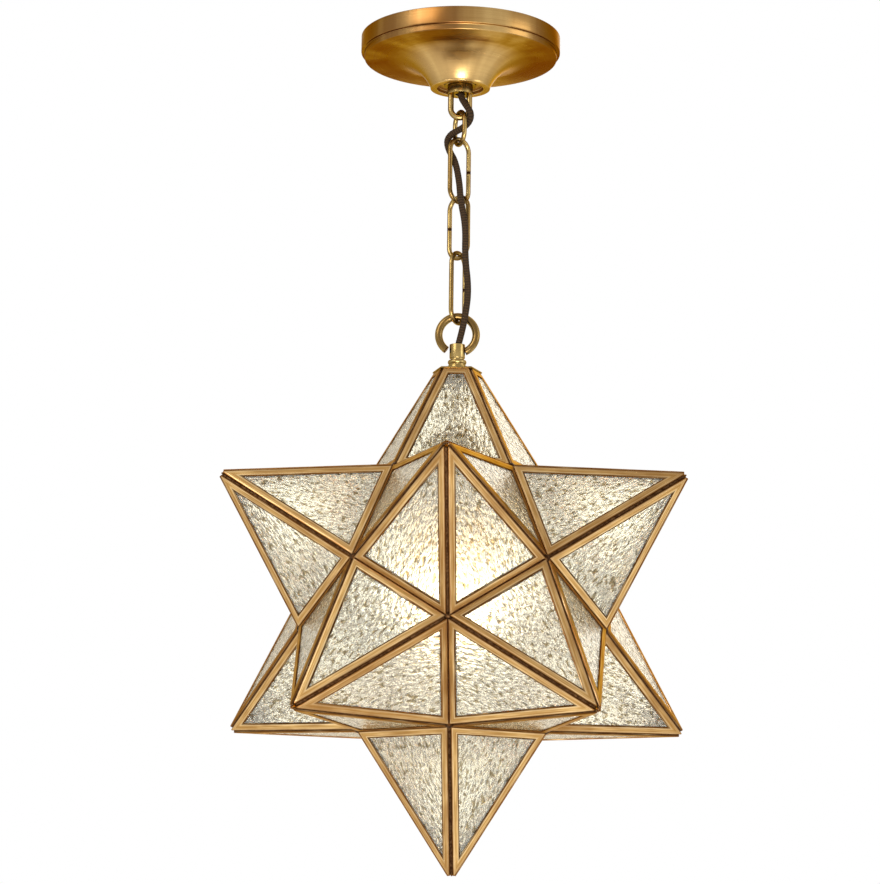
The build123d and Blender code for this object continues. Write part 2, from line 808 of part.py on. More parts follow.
cord_radii = corner_radii(cord_points)
print("cord bend radii:", [round(radius, 1) for radius in cord_radii])
with BuildPart() as power_cord:
    with BuildLine() as cord_line:
        FilletPolyline(*cord_points, radius=cord_radii)
    with BuildSketch(Plane(origin=cord_line.line @ 0, z_dir=cord_line.line % 0)):
        Circle(cord_radius)
    sweep()
cord_length = sum(edge.length for edge in cord_line.edges())
cord_volume = pi * cord_radius**2 * cord_length
print(f"cord length {cord_length:.1f}, volume {power_cord.part.volume:.1f} of {cord_volume:.1f}")
write(power_cord, "power_cord")
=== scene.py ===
import json
import math
import random

import bmesh
import bpy
from mathutils import Matrix, Vector


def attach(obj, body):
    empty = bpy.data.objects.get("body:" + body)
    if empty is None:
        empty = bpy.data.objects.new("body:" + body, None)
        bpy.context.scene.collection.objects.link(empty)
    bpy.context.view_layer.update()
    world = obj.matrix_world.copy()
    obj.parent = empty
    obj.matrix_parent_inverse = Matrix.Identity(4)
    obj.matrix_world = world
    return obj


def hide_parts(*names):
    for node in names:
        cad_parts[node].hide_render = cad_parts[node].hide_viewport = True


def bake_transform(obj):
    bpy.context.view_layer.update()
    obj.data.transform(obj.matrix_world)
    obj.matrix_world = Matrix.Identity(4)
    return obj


# Moravian star pendant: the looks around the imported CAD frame. Sizes are in millimetres in the
# dictionaries and become metres where a mesh is made.
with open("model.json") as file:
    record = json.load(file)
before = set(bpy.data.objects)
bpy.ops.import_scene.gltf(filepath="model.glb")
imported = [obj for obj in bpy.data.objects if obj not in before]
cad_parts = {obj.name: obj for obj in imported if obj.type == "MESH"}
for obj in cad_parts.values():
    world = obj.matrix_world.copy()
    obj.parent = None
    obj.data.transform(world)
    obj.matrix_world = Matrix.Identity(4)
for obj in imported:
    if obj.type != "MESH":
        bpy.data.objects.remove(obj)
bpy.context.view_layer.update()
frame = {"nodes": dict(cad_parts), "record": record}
mm = 0.001
print("frame loaded")


# A socket that takes part in sums on its board, which is a node tree.
class Wire:
    def __init__(self, board, socket):
        self.board = board
        self.socket = socket

    def __add__(self, other):
        return self.board.maths("ADD", self, other)

    def __sub__(self, other):
        return self.board.maths("SUBTRACT", self, other)

    def __rsub__(self, other):
        return self.board.maths("SUBTRACT", other, self)

    def __mul__(self, other):
        return self.board.maths("MULTIPLY", self, other)

    def __truediv__(self, other):
        return self.board.maths("DIVIDE", self, other)

    def __rtruediv__(self, other):
        return self.board.maths("DIVIDE", other, self)

    __radd__ = __add__
    __rmul__ = __mul__


class Board:
    def __init__(self, tree):
        self.tree = tree

    def node(self, kind, settings=None, values=None, output=0):
        made = self.tree.nodes.new(kind)
        for key, value in (settings or {}).items():
            if key == "stops":
                self.setStops(made.color_ramp, value)
            else:
                setattr(made, key, value)
        self.feed(made, values or {})
        return Wire(self, made.outputs[output])

    def setStops(self, ramp, stops):
        while len(ramp.elements) < len(stops):
            ramp.elements.new(0.5)
        for element, (position, colour) in zip(ramp.elements, stops):
            element.position = position
            element.color = colour

    def feed(self, made, values):
        for key, value in values.items():
            if isinstance(value, Wire):
                self.tree.links.new(value.socket, made.inputs[key])
            else:
                made.inputs[key].default_value = value

    def maths(self, operation, *terms):
        return self.node("ShaderNodeMath", {"operation": operation}, dict(enumerate(terms)))

    def vectorMaths(self, operation, *terms, output="Vector"):
        return self.node("ShaderNodeVectorMath", {"operation": operation}, dict(enumerate(terms)), output)

    def vector(self, x, y, z):
        return self.node("ShaderNodeCombineXYZ", values={"X": x, "Y": y, "Z": z})

    def part(self, vector, axis):
        return self.node("ShaderNodeSeparateXYZ", values={"Vector": vector}, output=axis)

    def cloud(self, place, scale, detail):
        values = {"Vector": place, "Scale": scale, "Detail": detail}
        return self.node("ShaderNodeTexNoise", values=values)


class Finish(Board):
    def __init__(self, name, values):
        self.material = bpy.data.materials.new(name)
        self.material.use_nodes = True
        super().__init__(self.material.node_tree)
        self.shader = self.tree.nodes["Principled BSDF"]
        self.paint(values)

    def paint(self, values):
        self.feed(self.shader, values)

    def place(self):
        return self.node("ShaderNodeTexCoord", output="Object")

    def attribute(self, name, output="Fac"):
        return self.node("ShaderNodeAttribute", {"attribute_name": name}, output=output)

    def noise(self, place, size, detail, stretch=None):
        if stretch:
            place = self.node("ShaderNodeMapping", values={"Vector": place, "Scale": stretch})
        return self.cloud(place, 1 / (size * mm), detail)

    def spread(self, value, low, high):
        values = {"Value": value, "From Min": low, "From Max": high}
        return self.node("ShaderNodeMapRange", values=values)

    def marks(self, place, size, detail, low, high):
        return self.spread(self.noise(place, size, detail), low, high)

    def mix(self, factor, first, second):
        return self.node("ShaderNodeMix", {"data_type": "RGBA"}, {0: factor, 6: first, 7: second}, 2)

    def bump(self, height, distance, strength=1.0):
        values = {"Height": height, "Distance": distance * mm, "Strength": strength}
        self.paint({"Normal": self.node("ShaderNodeBump", values=values)})


def colour(red, green, blue):
    return (red, green, blue, 1.0)


# The finishes. A noise is given as its size and detail, a pair of limits is what becomes 0 and 1, and
# marks are a noise with its limits behind it. A share or shade is how much of a colour is mixed in.
brassLook = {
    "light": colour(0.78, 0.56, 0.28),
    "tan": colour(0.52, 0.31, 0.105),
    "wire": colour(0.42, 0.30, 0.115),
    "olive": colour(0.27, 0.18, 0.058),
    "shade": colour(0.13, 0.072, 0.021),
    "brown": colour(0.20, 0.085, 0.02),
    "dark": colour(0.028, 0.010, 0.003),
    "edge": colour(0.60, 0.40, 0.20),
}
brassBase = {"Metallic": 1.0, "Specular Tint": brassLook["edge"]}

agedLook = {
    # roughness, size of the clouds, size of the grain, tarnish
    "fitting": (0.24, 9.0, 1.2, 0.1),
    "chain": (0.24, 7.0, 1.2, 0.05),
    "hinge": (0.3, 9.0, 1.0, 0.1),
    "clouds": (4.0, 0.35, 0.7),  # detail and limits
    "specks": (2.4, 4.0, 0.35, 0.8), "speckShade": 0.3,
    # the "sides" limits and their share paint shade along a bent wire's two sides
    "sides": (0.25, 0.9), "paintedSideShade": 0.9, "seam": (0.976, 0.99),
    "speckRoughness": 0.12, "grainDetail": 3.0, "grainDepth": 0.008,
}


# "around" is the place about a bent wire's own middle line and "nearEnd" grows to 1 at the wire's
# two ends: its two sides are darkened with painted shade, and its butt seam keeps more patina.
def agedBrass(name, roughness, cloudSize, grain, tarnish):
    look = agedLook
    finish = Finish(name, brassBase)
    place = finish.place()
    clouds = finish.marks(place, cloudSize, *look["clouds"])
    specks = finish.marks(place, *look["specks"])
    side = finish.part(finish.attribute("around", "Vector"), "X")
    sides = finish.spread(side * side, *look["sides"])
    seam = finish.spread(finish.attribute("nearEnd"), *look["seam"])
    base = finish.mix(clouds, brassLook["olive"], brassLook["wire"])
    base = finish.mix(specks * look["speckShade"] + tarnish, base, brassLook["shade"])
    # painted shade along the wire's two sides
    base = finish.mix(sides * look["paintedSideShade"], base, brassLook["shade"])
    base = finish.mix(seam, base, brassLook["dark"])
    finish.paint({"Base Color": base, "Roughness": roughness + specks * look["speckRoughness"]})
    finish.bump(finish.noise(place, grain, look["grainDetail"]), look["grainDepth"])
    return finish


cameLook = {
    # from the back over the outer edge and the face to the inner edge; the dark stops paint shade on the
    # outer side in the groove between leaves and past the inner edge where the came holds the glass, the
    # light stops are painted highlights
    "stops": [
        (0.0, "dark"), (0.32, "dark"), (0.355, "brown"), (0.42, "brown"), (0.50, "light"),
        (0.58, "tan"), (0.82, "tan"), (0.95, "light"), (1.0, "dark"),
    ],
    "stripWidth": 6.0, "stripStart": 0.35,
    "streaks": (1000.0, 4.0), "streakStretch": (0.05, 1.5, 1.0), "clouds": (24.0, 4.0),
    "darkStreaks": (0.45, 0.7), "darkShare": 0.55, "lightStreaks": (0.5, 0.3), "lightShare": 0.5,
    "patina": (0.45, 0.95), "patinaTone": 0.35, "patinaShare": 0.7,
    "roughness": 0.24, "streakRoughness": 0.2, "depth": 0.03,
}


# "strip" runs along the came and, in Y, across its section; "tone" is each leaf's own share of patina.
def cameBrass():
    look = cameLook
    finish = Finish("cameBrass", brassBase)
    strip = finish.node("ShaderNodeUVMap", {"uv_map": "strip"})
    streaks = finish.noise(strip, *look["streaks"], stretch=look["streakStretch"])
    clouds = finish.noise(finish.place(), *look["clouds"])
    patina = finish.spread(clouds + finish.attribute("tone") * look["patinaTone"], *look["patina"])
    across = finish.part(strip, "Y") / look["stripWidth"] + look["stripStart"]
    # The ramp across the section paints shade in the groove and channel and highlights beside both edges of
    # the face.
    stops = [(share, brassLook[shade]) for share, shade in look["stops"]]
    base = finish.node("ShaderNodeValToRGB", {"stops": stops}, {"Fac": across})
    darkStreaks = finish.spread(streaks, *look["darkStreaks"])
    lightStreaks = finish.spread(streaks, *look["lightStreaks"])
    base = finish.mix(darkStreaks * look["darkShare"], base, brassLook["brown"])
    base = finish.mix(lightStreaks * look["lightShare"], base, brassLook["light"])
    base = finish.mix(patina * look["patinaShare"], base, brassLook["brown"])
    roughness = look["roughness"] + streaks * look["streakRoughness"]
    finish.paint({"Base Color": base, "Roughness": roughness})
    finish.bump(streaks, look["depth"])
    return finish


spunLook = {
    "deep": colour(0.15, 0.060, 0.012),
    "mid": colour(0.20, 0.098, 0.030),
    "gold": colour(0.33, 0.19, 0.062),
    "bright": colour(0.54, 0.36, 0.14),
    "stops": [(0.36, "deep"), (0.47, "mid"), (0.57, "gold"), (0.70, "bright")],
    # scale and detail of the rays, painted reflections that streak out from the middle and change slowly
    # with the distance from it
    "raySpread": 14.0, "broad": (1.25, 2.0), "fine": (9.0, 3.0), "broadShare": 0.85, "fineShare": 0.15,
    "grooveScale": 900.0, "grooveTurn": 0.3, "grooveDetail": 3.0,
    "grooves": (0.45, 0.7), "grooveShare": 0.25,
    # radius in metres over which a painted highlight brightens the dish towards the neck
    "flat": (0.045, 0.022), "bellHighlightShare": 0.55,
    "roughness": 0.22, "grooveRoughness": 0.14, "depth": 0.01,
}


def spunBrass():
    look = spunLook
    finish = Finish("spunBrass", brassBase)
    place = finish.place()
    x, y, z = (finish.part(place, axis) for axis in "XYZ")
    radius = finish.vectorMaths("LENGTH", place, output="Value")
    turn = finish.maths("ARCTAN2", y, x)
    # The rays paint the radial streaks of reflection of a spun dish into the base colour.
    ray = finish.vector(
        finish.maths("COSINE", turn), finish.maths("SINE", turn), radius * look["raySpread"]
    )
    rays = finish.cloud(ray, *look["broad"]) * look["broadShare"]
    rays += finish.cloud(ray, *look["fine"]) * look["fineShare"]
    stops = [(share, look[shade]) for share, shade in look["stops"]]
    base = finish.node("ShaderNodeValToRGB", {"stops": stops}, {"Fac": rays})
    scale = look["grooveScale"]
    rings = finish.vector(radius * scale, z * scale, turn * look["grooveTurn"])
    turned = finish.cloud(rings, 1.0, look["grooveDetail"])
    grooves = finish.spread(turned, *look["grooves"])
    flat = finish.vectorMaths("LENGTH", finish.vector(x, y, 0.0), output="Value")
    base = finish.mix(grooves * look["grooveShare"], base, look["deep"])
    # painted highlight on the bell, brighter towards the neck
    base = finish.mix(finish.spread(flat, *look["flat"]) * look["bellHighlightShare"], base, look["bright"])
    roughness = look["roughness"] + turned * look["grooveRoughness"]
    finish.paint({"Base Color": base, "Roughness": roughness})
    finish.bump(turned, look["depth"])
    return finish


glassLook = {
    "clear": colour(1.0, 0.99, 0.88),
    "cream": colour(1.0, 0.95, 0.82),
    "amber": colour(0.26, 0.19, 0.08),
    "gloss": colour(0.75, 0.66, 0.48),
    "edge": colour(0.66, 0.50, 0.28),
    "ior": 1.48, "transmission": 0.88,
    # every leaf's strokes start from another place
    "shiftX": 0.3, "shiftY": 0.7, "strokes": (1.6, 1.0), "strokeStretch": (1.0, 0.42, 1.0),
    "worms": (1.2, 3.0), "wormShare": 0.15, "marks": (0.63, 0.72), "markShare": 0.95,
    "clouds": (26.0, 2.0), "cloudTone": 0.4, "creamLimits": (0.45, 0.95),
    # the grazing limits, share and gloss paint an amber reflection on panes seen at grazing angles
    "blend": 0.5, "grazing": (0.6, 0.95), "grazingShare": 0.8, "grazingGloss": 0.7,
    "roughness": 0.09, "markRoughness": 0.2, "depth": 1.0, "strength": 0.9,
}


# "pane" is the place on the leaf, with Y towards the tip; the hammer strokes run along it.
def hammeredGlass():
    look = glassLook
    values = {
        "IOR": look["ior"], "Transmission Weight": look["transmission"], "Specular Tint": look["gloss"],
    }
    finish = Finish("hammeredGlass", values)
    place = finish.place()
    tone = finish.attribute("tone")
    shift = finish.vector(tone * look["shiftX"], tone * look["shiftY"], tone)
    moved = finish.vectorMaths("ADD", finish.attribute("pane", "Vector"), shift)
    hammered = finish.noise(moved, *look["strokes"], stretch=look["strokeStretch"])
    hammered += finish.noise(place, *look["worms"]) * look["wormShare"]
    marks = finish.spread(hammered, *look["marks"])
    clouds = finish.noise(place, *look["clouds"]) + tone * look["cloudTone"]
    body = finish.mix(finish.spread(clouds, *look["creamLimits"]), look["clear"], look["cream"])
    # Painted reflection: seen at grazing angles the panes turn towards the amber edge colour and partly
    # metallic.
    facing = finish.node("ShaderNodeLayerWeight", values={"Blend": look["blend"]}, output="Facing")
    grazing = finish.spread(facing, *look["grazing"])
    body = finish.mix(grazing * look["grazingShare"], body, look["edge"])
    base = finish.mix(marks * look["markShare"], body, look["amber"])
    roughness = look["roughness"] + marks * look["markRoughness"]
    metallic = grazing * look["grazingGloss"]
    finish.paint({"Base Color": base, "Metallic": metallic, "Roughness": roughness})
    finish.bump(hammered, look["depth"], look["strength"])
    return finish


solderLook = {
    "lit": colour(0.10, 0.05, 0.02),
    "lumps": (1.6, 4.0), "limits": (0.4, 0.75), "roughness": 0.38, "lumpRoughness": 0.2, "depth": 0.08,
}


def patinaSolder():
    look = solderLook
    finish = Finish("patinaSolder", {"Metallic": 1.0})
    lumps = finish.noise(finish.place(), *look["lumps"])
    base = finish.mix(finish.spread(lumps, *look["limits"]), brassLook["dark"], look["lit"])
    roughness = look["roughness"] + lumps * look["lumpRoughness"]
    finish.paint({"Base Color": base, "Roughness": roughness})
    finish.bump(lumps, look["depth"])
    return finish


braidLook = {
    # the gap colour is painted shade between the crossing strands
    "gap": colour(0.008, 0.005, 0.0025),
    "strand": colour(0.055, 0.030, 0.013),
    "fibre": colour(0.022, 0.012, 0.006),
    "strands": 8, "crossing": (-0.6, 0.7), "fibres": (0.35, 3.0), "fibreShare": 0.4, "fibreRelief": 0.5,
    "roughness": 0.85, "gloss": 0.12, "depth": 0.06,
}


# In "braid", X is the share of a turn about the cord and Y counts the turns of a strand along it.
def braidedCotton():
    look = braidLook
    values = {"Roughness": look["roughness"], "Specular IOR Level": look["gloss"]}
    finish = Finish("braidedCotton", values)
    braid = finish.node("ShaderNodeUVMap", {"uv_map": "braid"})
    around, along = finish.part(braid, "X") * look["strands"], finish.part(braid, "Y")
    first = finish.maths("SINE", (around + along) * math.tau)
    second = finish.maths("SINE", (around - along) * math.tau)
    crossing = finish.spread(first * second, *look["crossing"])
    fibres = finish.noise(finish.place(), *look["fibres"])
    # painted shade in the gaps between the strands
    base = finish.mix(crossing, look["gap"], look["strand"])
    finish.paint({"Base Color": finish.mix(fibres * look["fibreShare"], base, look["fibre"])})
    finish.bump(crossing + fibres * look["fibreRelief"], look["depth"])
    return finish


plainLook = {
    # colour, worn colour, roughness, metallic
    "steel": (colour(0.56, 0.56, 0.54), colour(0.34, 0.33, 0.31), 0.3, 1.0),
    "lampMetal": (colour(0.72, 0.72, 0.7), colour(0.5, 0.5, 0.48), 0.25, 1.0),
    "core": (colour(0.8, 0.76, 0.68), colour(0.6, 0.55, 0.47), 0.35, 0.0),
    "marks": (3.5, 4.0, 0.35, 0.75), "markRoughness": 0.15, "grain": (0.7, 3.0), "depth": 0.02,
}


def plainFinish(name, base, worn, roughness, metallic):
    look = plainLook
    finish = Finish(name, {"Metallic": metallic})
    place = finish.place()
    marks = finish.marks(place, *look["marks"])
    roughness = roughness + marks * look["markRoughness"]
    finish.paint({"Base Color": finish.mix(marks, base, worn), "Roughness": roughness})
    finish.bump(finish.noise(place, *look["grain"]), look["depth"])
    return finish


litLook = {
    "body": colour(0.98, 0.94, 0.86),
    "warm": colour(1.0, 0.74, 0.42),
    "bright": colour(1.0, 0.86, 0.62),
    "dim": colour(0.06, 0.035, 0.015),
    # emission strength and transmission
    "glass": (2.0, 0.85), "core": (22.0, 0.0),
    # heights in metres between which the glow fades
    "neck": (-0.345, -0.315), "swirl": (6.0, 2.0), "roughness": 0.3,
}


# The lit part of the lamp is its lower end; the neck stays dim.
def litGlass(name, strength, clear):
    look = litLook
    values = {
        "Roughness": look["roughness"], "Base Color": look["body"],
        "Emission Strength": strength, "Transmission Weight": clear,
    }
    finish = Finish(name, values)
    place = finish.place()
    neck = finish.spread(finish.part(place, "Z"), *look["neck"])
    glow = finish.mix(finish.noise(place, *look["swirl"]), look["warm"], look["bright"])
    finish.paint({"Emission Color": finish.mix(neck, glow, look["dim"])})
    return finish


finishes = {
    "came_brass": cameBrass(),
    "fitting_brass": agedBrass("fittingBrass", *agedLook["fitting"]),
    "chain_brass": agedBrass("chainBrass", *agedLook["chain"]),
    "hinge_brass": agedBrass("hingeBrass", *agedLook["hinge"]),
    "spun_brass": spunBrass(),
    "solder": patinaSolder(),
    "hammered_glass": hammeredGlass(),
    "cord_cloth": braidedCotton(),
    "plated_steel": plainFinish("platedSteel", *plainLook["steel"]),
    "lamp_metal": plainFinish("lampMetal", *plainLook["lampMetal"]),
    "lampholder_core": plainFinish("lampholderCore", *plainLook["core"]),
    "lamp_glass": litGlass("litGlass", *litLook["glass"]),
    "lamp_core": litGlass("litCore", *litLook["core"]),
}
for finish in finishes.values():
    finish.material.use_fake_user = True
print("finishes made")


# Making objects and meshes
def addObject(name, data):
    made = bpy.data.objects.new(name, data)
    bpy.context.collection.objects.link(made)
    return made


def addAttribute(mesh, name, kind, values):
    attribute = mesh.attributes.new(name, kind, "POINT")
    for item, value in zip(attribute.data, values):
        setattr(item, "vector" if kind == "FLOAT_VECTOR" else "value", value)


def dress(mesh, finishName):
    mesh.materials.clear()
    mesh.materials.append(finishes[finishName].material)


def put(name, mesh, body, slotName, *replaced, finish=None):
    piece = addObject(name, mesh)
    dress(mesh, finish or slotName)
    if body:
        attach(piece, body)
    if replaced:
        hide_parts(*replaced)
    return piece


def toMesh(name, points, faces, uvName=None, uvs=None):
    mesh = bpy.data.meshes.new(name)
    mesh.from_pydata([Vector(point) * mm for point in points], [], faces)
    if uvName:
        layer = mesh.uv_layers.new(name=uvName)
        for loop, place in zip(layer.data, uvs):
            loop.uv = place
    return mesh


def smooth(mesh, angle):
    mesh.polygons.foreach_set("use_smooth", [True] * len(mesh.polygons))
    mesh.set_sharp_from_angle(angle=math.radians(angle))


def mend(mesh, smoothAngle=35):
    work = bmesh.new()
    work.from_mesh(mesh)
    bmesh.ops.remove_doubles(work, verts=work.verts, dist=1e-6)
    bmesh.ops.dissolve_degenerate(work, edges=work.edges, dist=1e-7)
    bmesh.ops.recalc_face_normals(work, faces=work.faces)
    work.to_mesh(mesh)
    work.free()
    smooth(mesh, smoothAngle)


# Quads between rings of equally many points; a closed row of rings ends where it starts.
def ringQuads(rings, count, closed=False):
    quads = []
    for ring in range(rings if closed else rings - 1):
        low, high = ring * count, (ring + 1) % rings * count
        for number in range(count):
            after = (number + 1) % count
            quads.append((low + number, low + after, high + after, high + number))
    return quads


# The UV corners of those quads, from places around a ring and places from ring to ring.
def ringUvs(around, along):
    uvs = []
    for low, high in zip(along, along[1:]):
        for left, right in zip(around, around[1:]):
            uvs += [(left, low), (right, low), (right, high), (left, high)]
    return uvs


def shares(count):
    return [number / count for number in range(count + 1)]


def runningLengths(points):
    lengths = [0.0]
    for before, after in zip(points, points[1:]):
        lengths.append(lengths[-1] + math.dist(before, after))
    return lengths


# Rounds the corners of a closed outline of (across, up) points, and takes less than half of a side.
def softened(corners, radius, steps=3):
    mostOfSide = 0.45
    soft = []
    for before, corner, after in zip(corners[-1:] + corners, corners, corners[1:] + corners[:1]):
        here, back, ahead = (Vector(point) for point in (corner, before, after))
        cutBack = min(radius, (back - here).length * mostOfSide)
        cutAhead = min(radius, (ahead - here).length * mostOfSide)
        start = here + (back - here).normalized() * cutBack
        end = here + (ahead - here).normalized() * cutAhead
        for step in range(steps + 1):
            t = step / steps
            soft.append(start * (1 - t) ** 2 + here * (2 * t * (1 - t)) + end * t**2)
    return soft


def arcPoints(centre, radius, start, end, steps):
    turns = [math.radians(start + (end - start) * step / steps) for step in range(steps + 1)]
    return [(centre[0] + radius * math.cos(turn), centre[1] + radius * math.sin(turn)) for turn in turns]


# A closed (radius, z) outline turned about the hanging axis
def turnedMesh(name, outline, segments=96):
    points = []
    for number in range(segments):
        turn = math.tau * number / segments
        points += [(radius * math.cos(turn), radius * math.sin(turn), z) for radius, z in outline]
    uvs = [(along, around) for around, along in ringUvs(shares(len(outline)), shares(segments))]
    mesh = toMesh(name, points, ringQuads(segments, len(outline), closed=True), "strip", uvs)
    mend(mesh)
    return mesh


canopy = {
    "radius": 60.0, "rim": 10.0, "step": 2.0, "stepHeight": 3.5, "wall": 0.8, "dishDrop": 0.6,
    "depth": 32.018, "bellAngle": 84.0, "footAngle": 22.0, "neckRadius": 18.0, "neckHeight": 1.0,
    "lipWidth": 4.2, "recess": 2.5, "hole": 5.05, "soft": 0.45, "bellSteps": 20, "segments": 144,
}


def makeCanopy():
    c = canopy
    stepRadius = c["radius"] - c["step"]
    stepZ = -c["rim"] - c["stepHeight"]
    neckZ = -c["depth"]
    neckTop = neckZ + c["neckHeight"]
    top, foot = math.radians(c["bellAngle"]), math.radians(c["footAngle"])
    bellRadius = (stepZ - c["dishDrop"] - neckTop) / (math.sin(top) - math.sin(foot))
    bell = (c["neckRadius"] + bellRadius * math.cos(foot), neckTop - bellRadius * math.sin(foot))
    recessZ = neckZ + c["recess"]
    innerRadius = bellRadius + c["wall"]
    innerFoot = math.degrees(math.asin((recessZ + c["wall"] - bell[1]) / innerRadius))
    lip = c["neckRadius"] - c["lipWidth"]
    innerRim = stepRadius - c["wall"]
    bellStart = 180 - c["bellAngle"]
    outline = [(innerRim, 0), (c["radius"], 0), (c["radius"], -c["rim"]), (stepRadius, -c["rim"])]
    outline += [(stepRadius, stepZ)]
    outline += arcPoints(bell, bellRadius, bellStart, 180 - c["footAngle"], c["bellSteps"])
    outline += [(c["neckRadius"], neckZ), (lip, neckZ), (lip, recessZ), (c["hole"], recessZ)]
    outline += [(c["hole"], recessZ + c["wall"])]
    outline += arcPoints(bell, innerRadius, 180 - innerFoot, bellStart, c["bellSteps"])
    outline += [(innerRim, stepZ + c["wall"])]
    mesh = turnedMesh("canopy", softened(outline, c["soft"]), c["segments"])
    put("canopy", mesh, "ceiling", "spun_brass", "ceiling_canopy")
    return recessZ


recessZ = makeCanopy()

# Washer, collar and the coupling on the star's neck
fitting = {
    "washer": (9.6, 0.8), "washerSoft": 0.2,
    "collarRadius": 7.6, "collarHeight": 5.3, "collarFloor": 1.5, "collarSoft": 0.6, "collarSteps": 4,
    "thread": 5.05, "cordHole": 3.0,
    "couplingTop": -189.568, "shank": 8.3, "radius": 4.6, "groove": 1.1, "grooveDepth": 0.6,
    "beadRadius": 5.6, "bead": 2.6, "beadRound": 0.35, "beadFoot": 0.25, "footRadius": 5.9, "foot": 2.4,
    "socketHole": 4.05, "socketThread": 4.6, "couplingSoft": 0.3,
}


def makeFittings():
    f = fitting
    thread, cordHole = f["thread"], f["cordHole"]
    washerRadius, washerHeight = f["washer"]
    washerZ = recessZ - washerHeight
    outline = [(thread, washerZ), (washerRadius, washerZ), (washerRadius, recessZ), (thread, recessZ)]
    mesh = turnedMesh("washer", softened(outline, f["washerSoft"]))
    put("washer", mesh, "ceiling", "fitting_brass", "canopy_washer")
    collarZ = washerZ - f["collarHeight"]
    floorZ = collarZ + f["collarFloor"]
    outline = [(cordHole, collarZ), (f["collarRadius"], collarZ), (f["collarRadius"], washerZ)]
    outline += [(thread, washerZ), (thread, floorZ), (cordHole, floorZ)]
    mesh = turnedMesh("collar", softened(outline, f["collarSoft"], f["collarSteps"]))
    put("collar", mesh, "ceiling", "fitting_brass", "canopy_collar")

    top = f["couplingTop"]
    shankZ = top - f["shank"]
    beadTop = shankZ - f["groove"]
    beadBottom = beadTop - f["bead"]
    footTop = beadBottom - f["groove"]
    footZ = footTop - f["foot"]
    socketTop = footZ + f["socketThread"]
    radius, beadRadius, footRadius = f["radius"], f["beadRadius"], f["footRadius"]
    upperGroove, lowerGroove = radius - f["grooveDepth"], beadRadius - f["grooveDepth"]
    outline = [(cordHole, top), (radius, top), (radius, shankZ), (upperGroove, shankZ)]
    outline += [(upperGroove, beadTop), (radius, beadTop)]
    outline += [(beadRadius - f["beadRound"], beadTop - f["beadRound"])]
    outline += [(beadRadius, (beadTop + beadBottom) / 2)]
    outline += [(beadRadius - f["beadFoot"], beadBottom + f["beadRound"]), (lowerGroove, beadBottom)]
    outline += [(lowerGroove, footTop), (footRadius, footTop), (footRadius, footZ)]
    outline += [(f["socketHole"], footZ), (f["socketHole"], socketTop), (cordHole, socketTop)]
    mesh = turnedMesh("coupling", softened(outline, f["couplingSoft"]))
    put("coupling", mesh, "star", "fitting_brass", "neck_coupling")
    return collarZ


collarZ = makeFittings()
print("canopy and fittings made")


# Geometry nodes
def nodeGroup(name, sockets):
    group = bpy.data.node_groups.new(name, "GeometryNodeTree")
    for direction in ("INPUT", "OUTPUT"):
        group.interface.new_socket(name="Geometry", in_out=direction, socket_type="NodeSocketGeometry")
    for label, kind in sockets:
        group.interface.new_socket(name=label, in_out="INPUT", socket_type=f"NodeSocket{kind}")
    board = Board(group)
    given = group.nodes.new("NodeGroupInput")
    inputs = {socket.name: Wire(board, socket) for socket in given.outputs if socket.name}
    return board, inputs


def endGroup(board, geometry, finish):
    values = {"Geometry": geometry, "Material": finish}
    done = board.node("GeometryNodeSetMaterial", values=values)
    result = board.tree.nodes.new("NodeGroupOutput")
    board.feed(result, {"Geometry": done})
    return board.tree


def evaluatedMesh(carrier):
    graph = bpy.context.evaluated_depsgraph_get()
    shaped = carrier.evaluated_get(graph)
    mesh = bpy.data.meshes.new_from_object(shaped, preserve_all_data_layers=True, depsgraph=graph)
    bpy.data.objects.remove(carrier)
    return mesh


def runNodes(carrier, group, values):
    modifier = carrier.modifiers.new("nodes", "NODES")
    modifier.node_group = group
    for item in group.interface.items_tree:
        if item.in_out == "INPUT" and item.name in values:
            modifier[item.identifier] = values[item.name]
    return evaluatedMesh(carrier)


# Sweeps a round wire along a line and marks what its finish needs: "around" and "nearEnd".
def bentWireGroup():
    sockets = [("Wire radius", "Float"), ("Sides", "Int"), ("Finish", "Material")]
    board, inputs = nodeGroup("bentWire", sockets)
    size = {"Resolution": inputs["Sides"], "Radius": inputs["Wire radius"]}
    circle = board.node("GeometryNodeCurvePrimitiveCircle", values=size)
    unit = board.vectorMaths("NORMALIZE", board.node("GeometryNodeInputPosition"))
    marked = {"Geometry": circle, "Name": "around", "Value": unit}
    circle = board.node("GeometryNodeStoreNamedAttribute", {"data_type": "FLOAT_VECTOR"}, marked)
    share = board.node("GeometryNodeSplineParameter", output="Factor")
    nearEnd = board.maths("ABSOLUTE", share * 2.0 - 1.0)
    marked = {"Geometry": inputs["Geometry"], "Name": "nearEnd", "Value": nearEnd}
    line = board.node("GeometryNodeStoreNamedAttribute", {"data_type": "FLOAT"}, marked)
    swept = {"Curve": line, "Profile Curve": circle, "Fill Caps": True}
    tube = board.node("GeometryNodeCurveToMesh", values=swept)
    solid = board.node("GeometryNodeRealizeInstances", values={"Geometry": tube})
    return endGroup(board, solid, inputs["Finish"])


bentWire = bentWireGroup()


def lineObject(name, points, kind="POLY"):
    data = bpy.data.curves.new(name, "CURVE")
    data.dimensions = "3D"
    spline = data.splines.new(kind)
    spline.points.add(len(points) - 1)
    for point, place in zip(spline.points, points):
        point.co = (*(Vector(place) * mm), 1.0)
    return addObject(name, data)


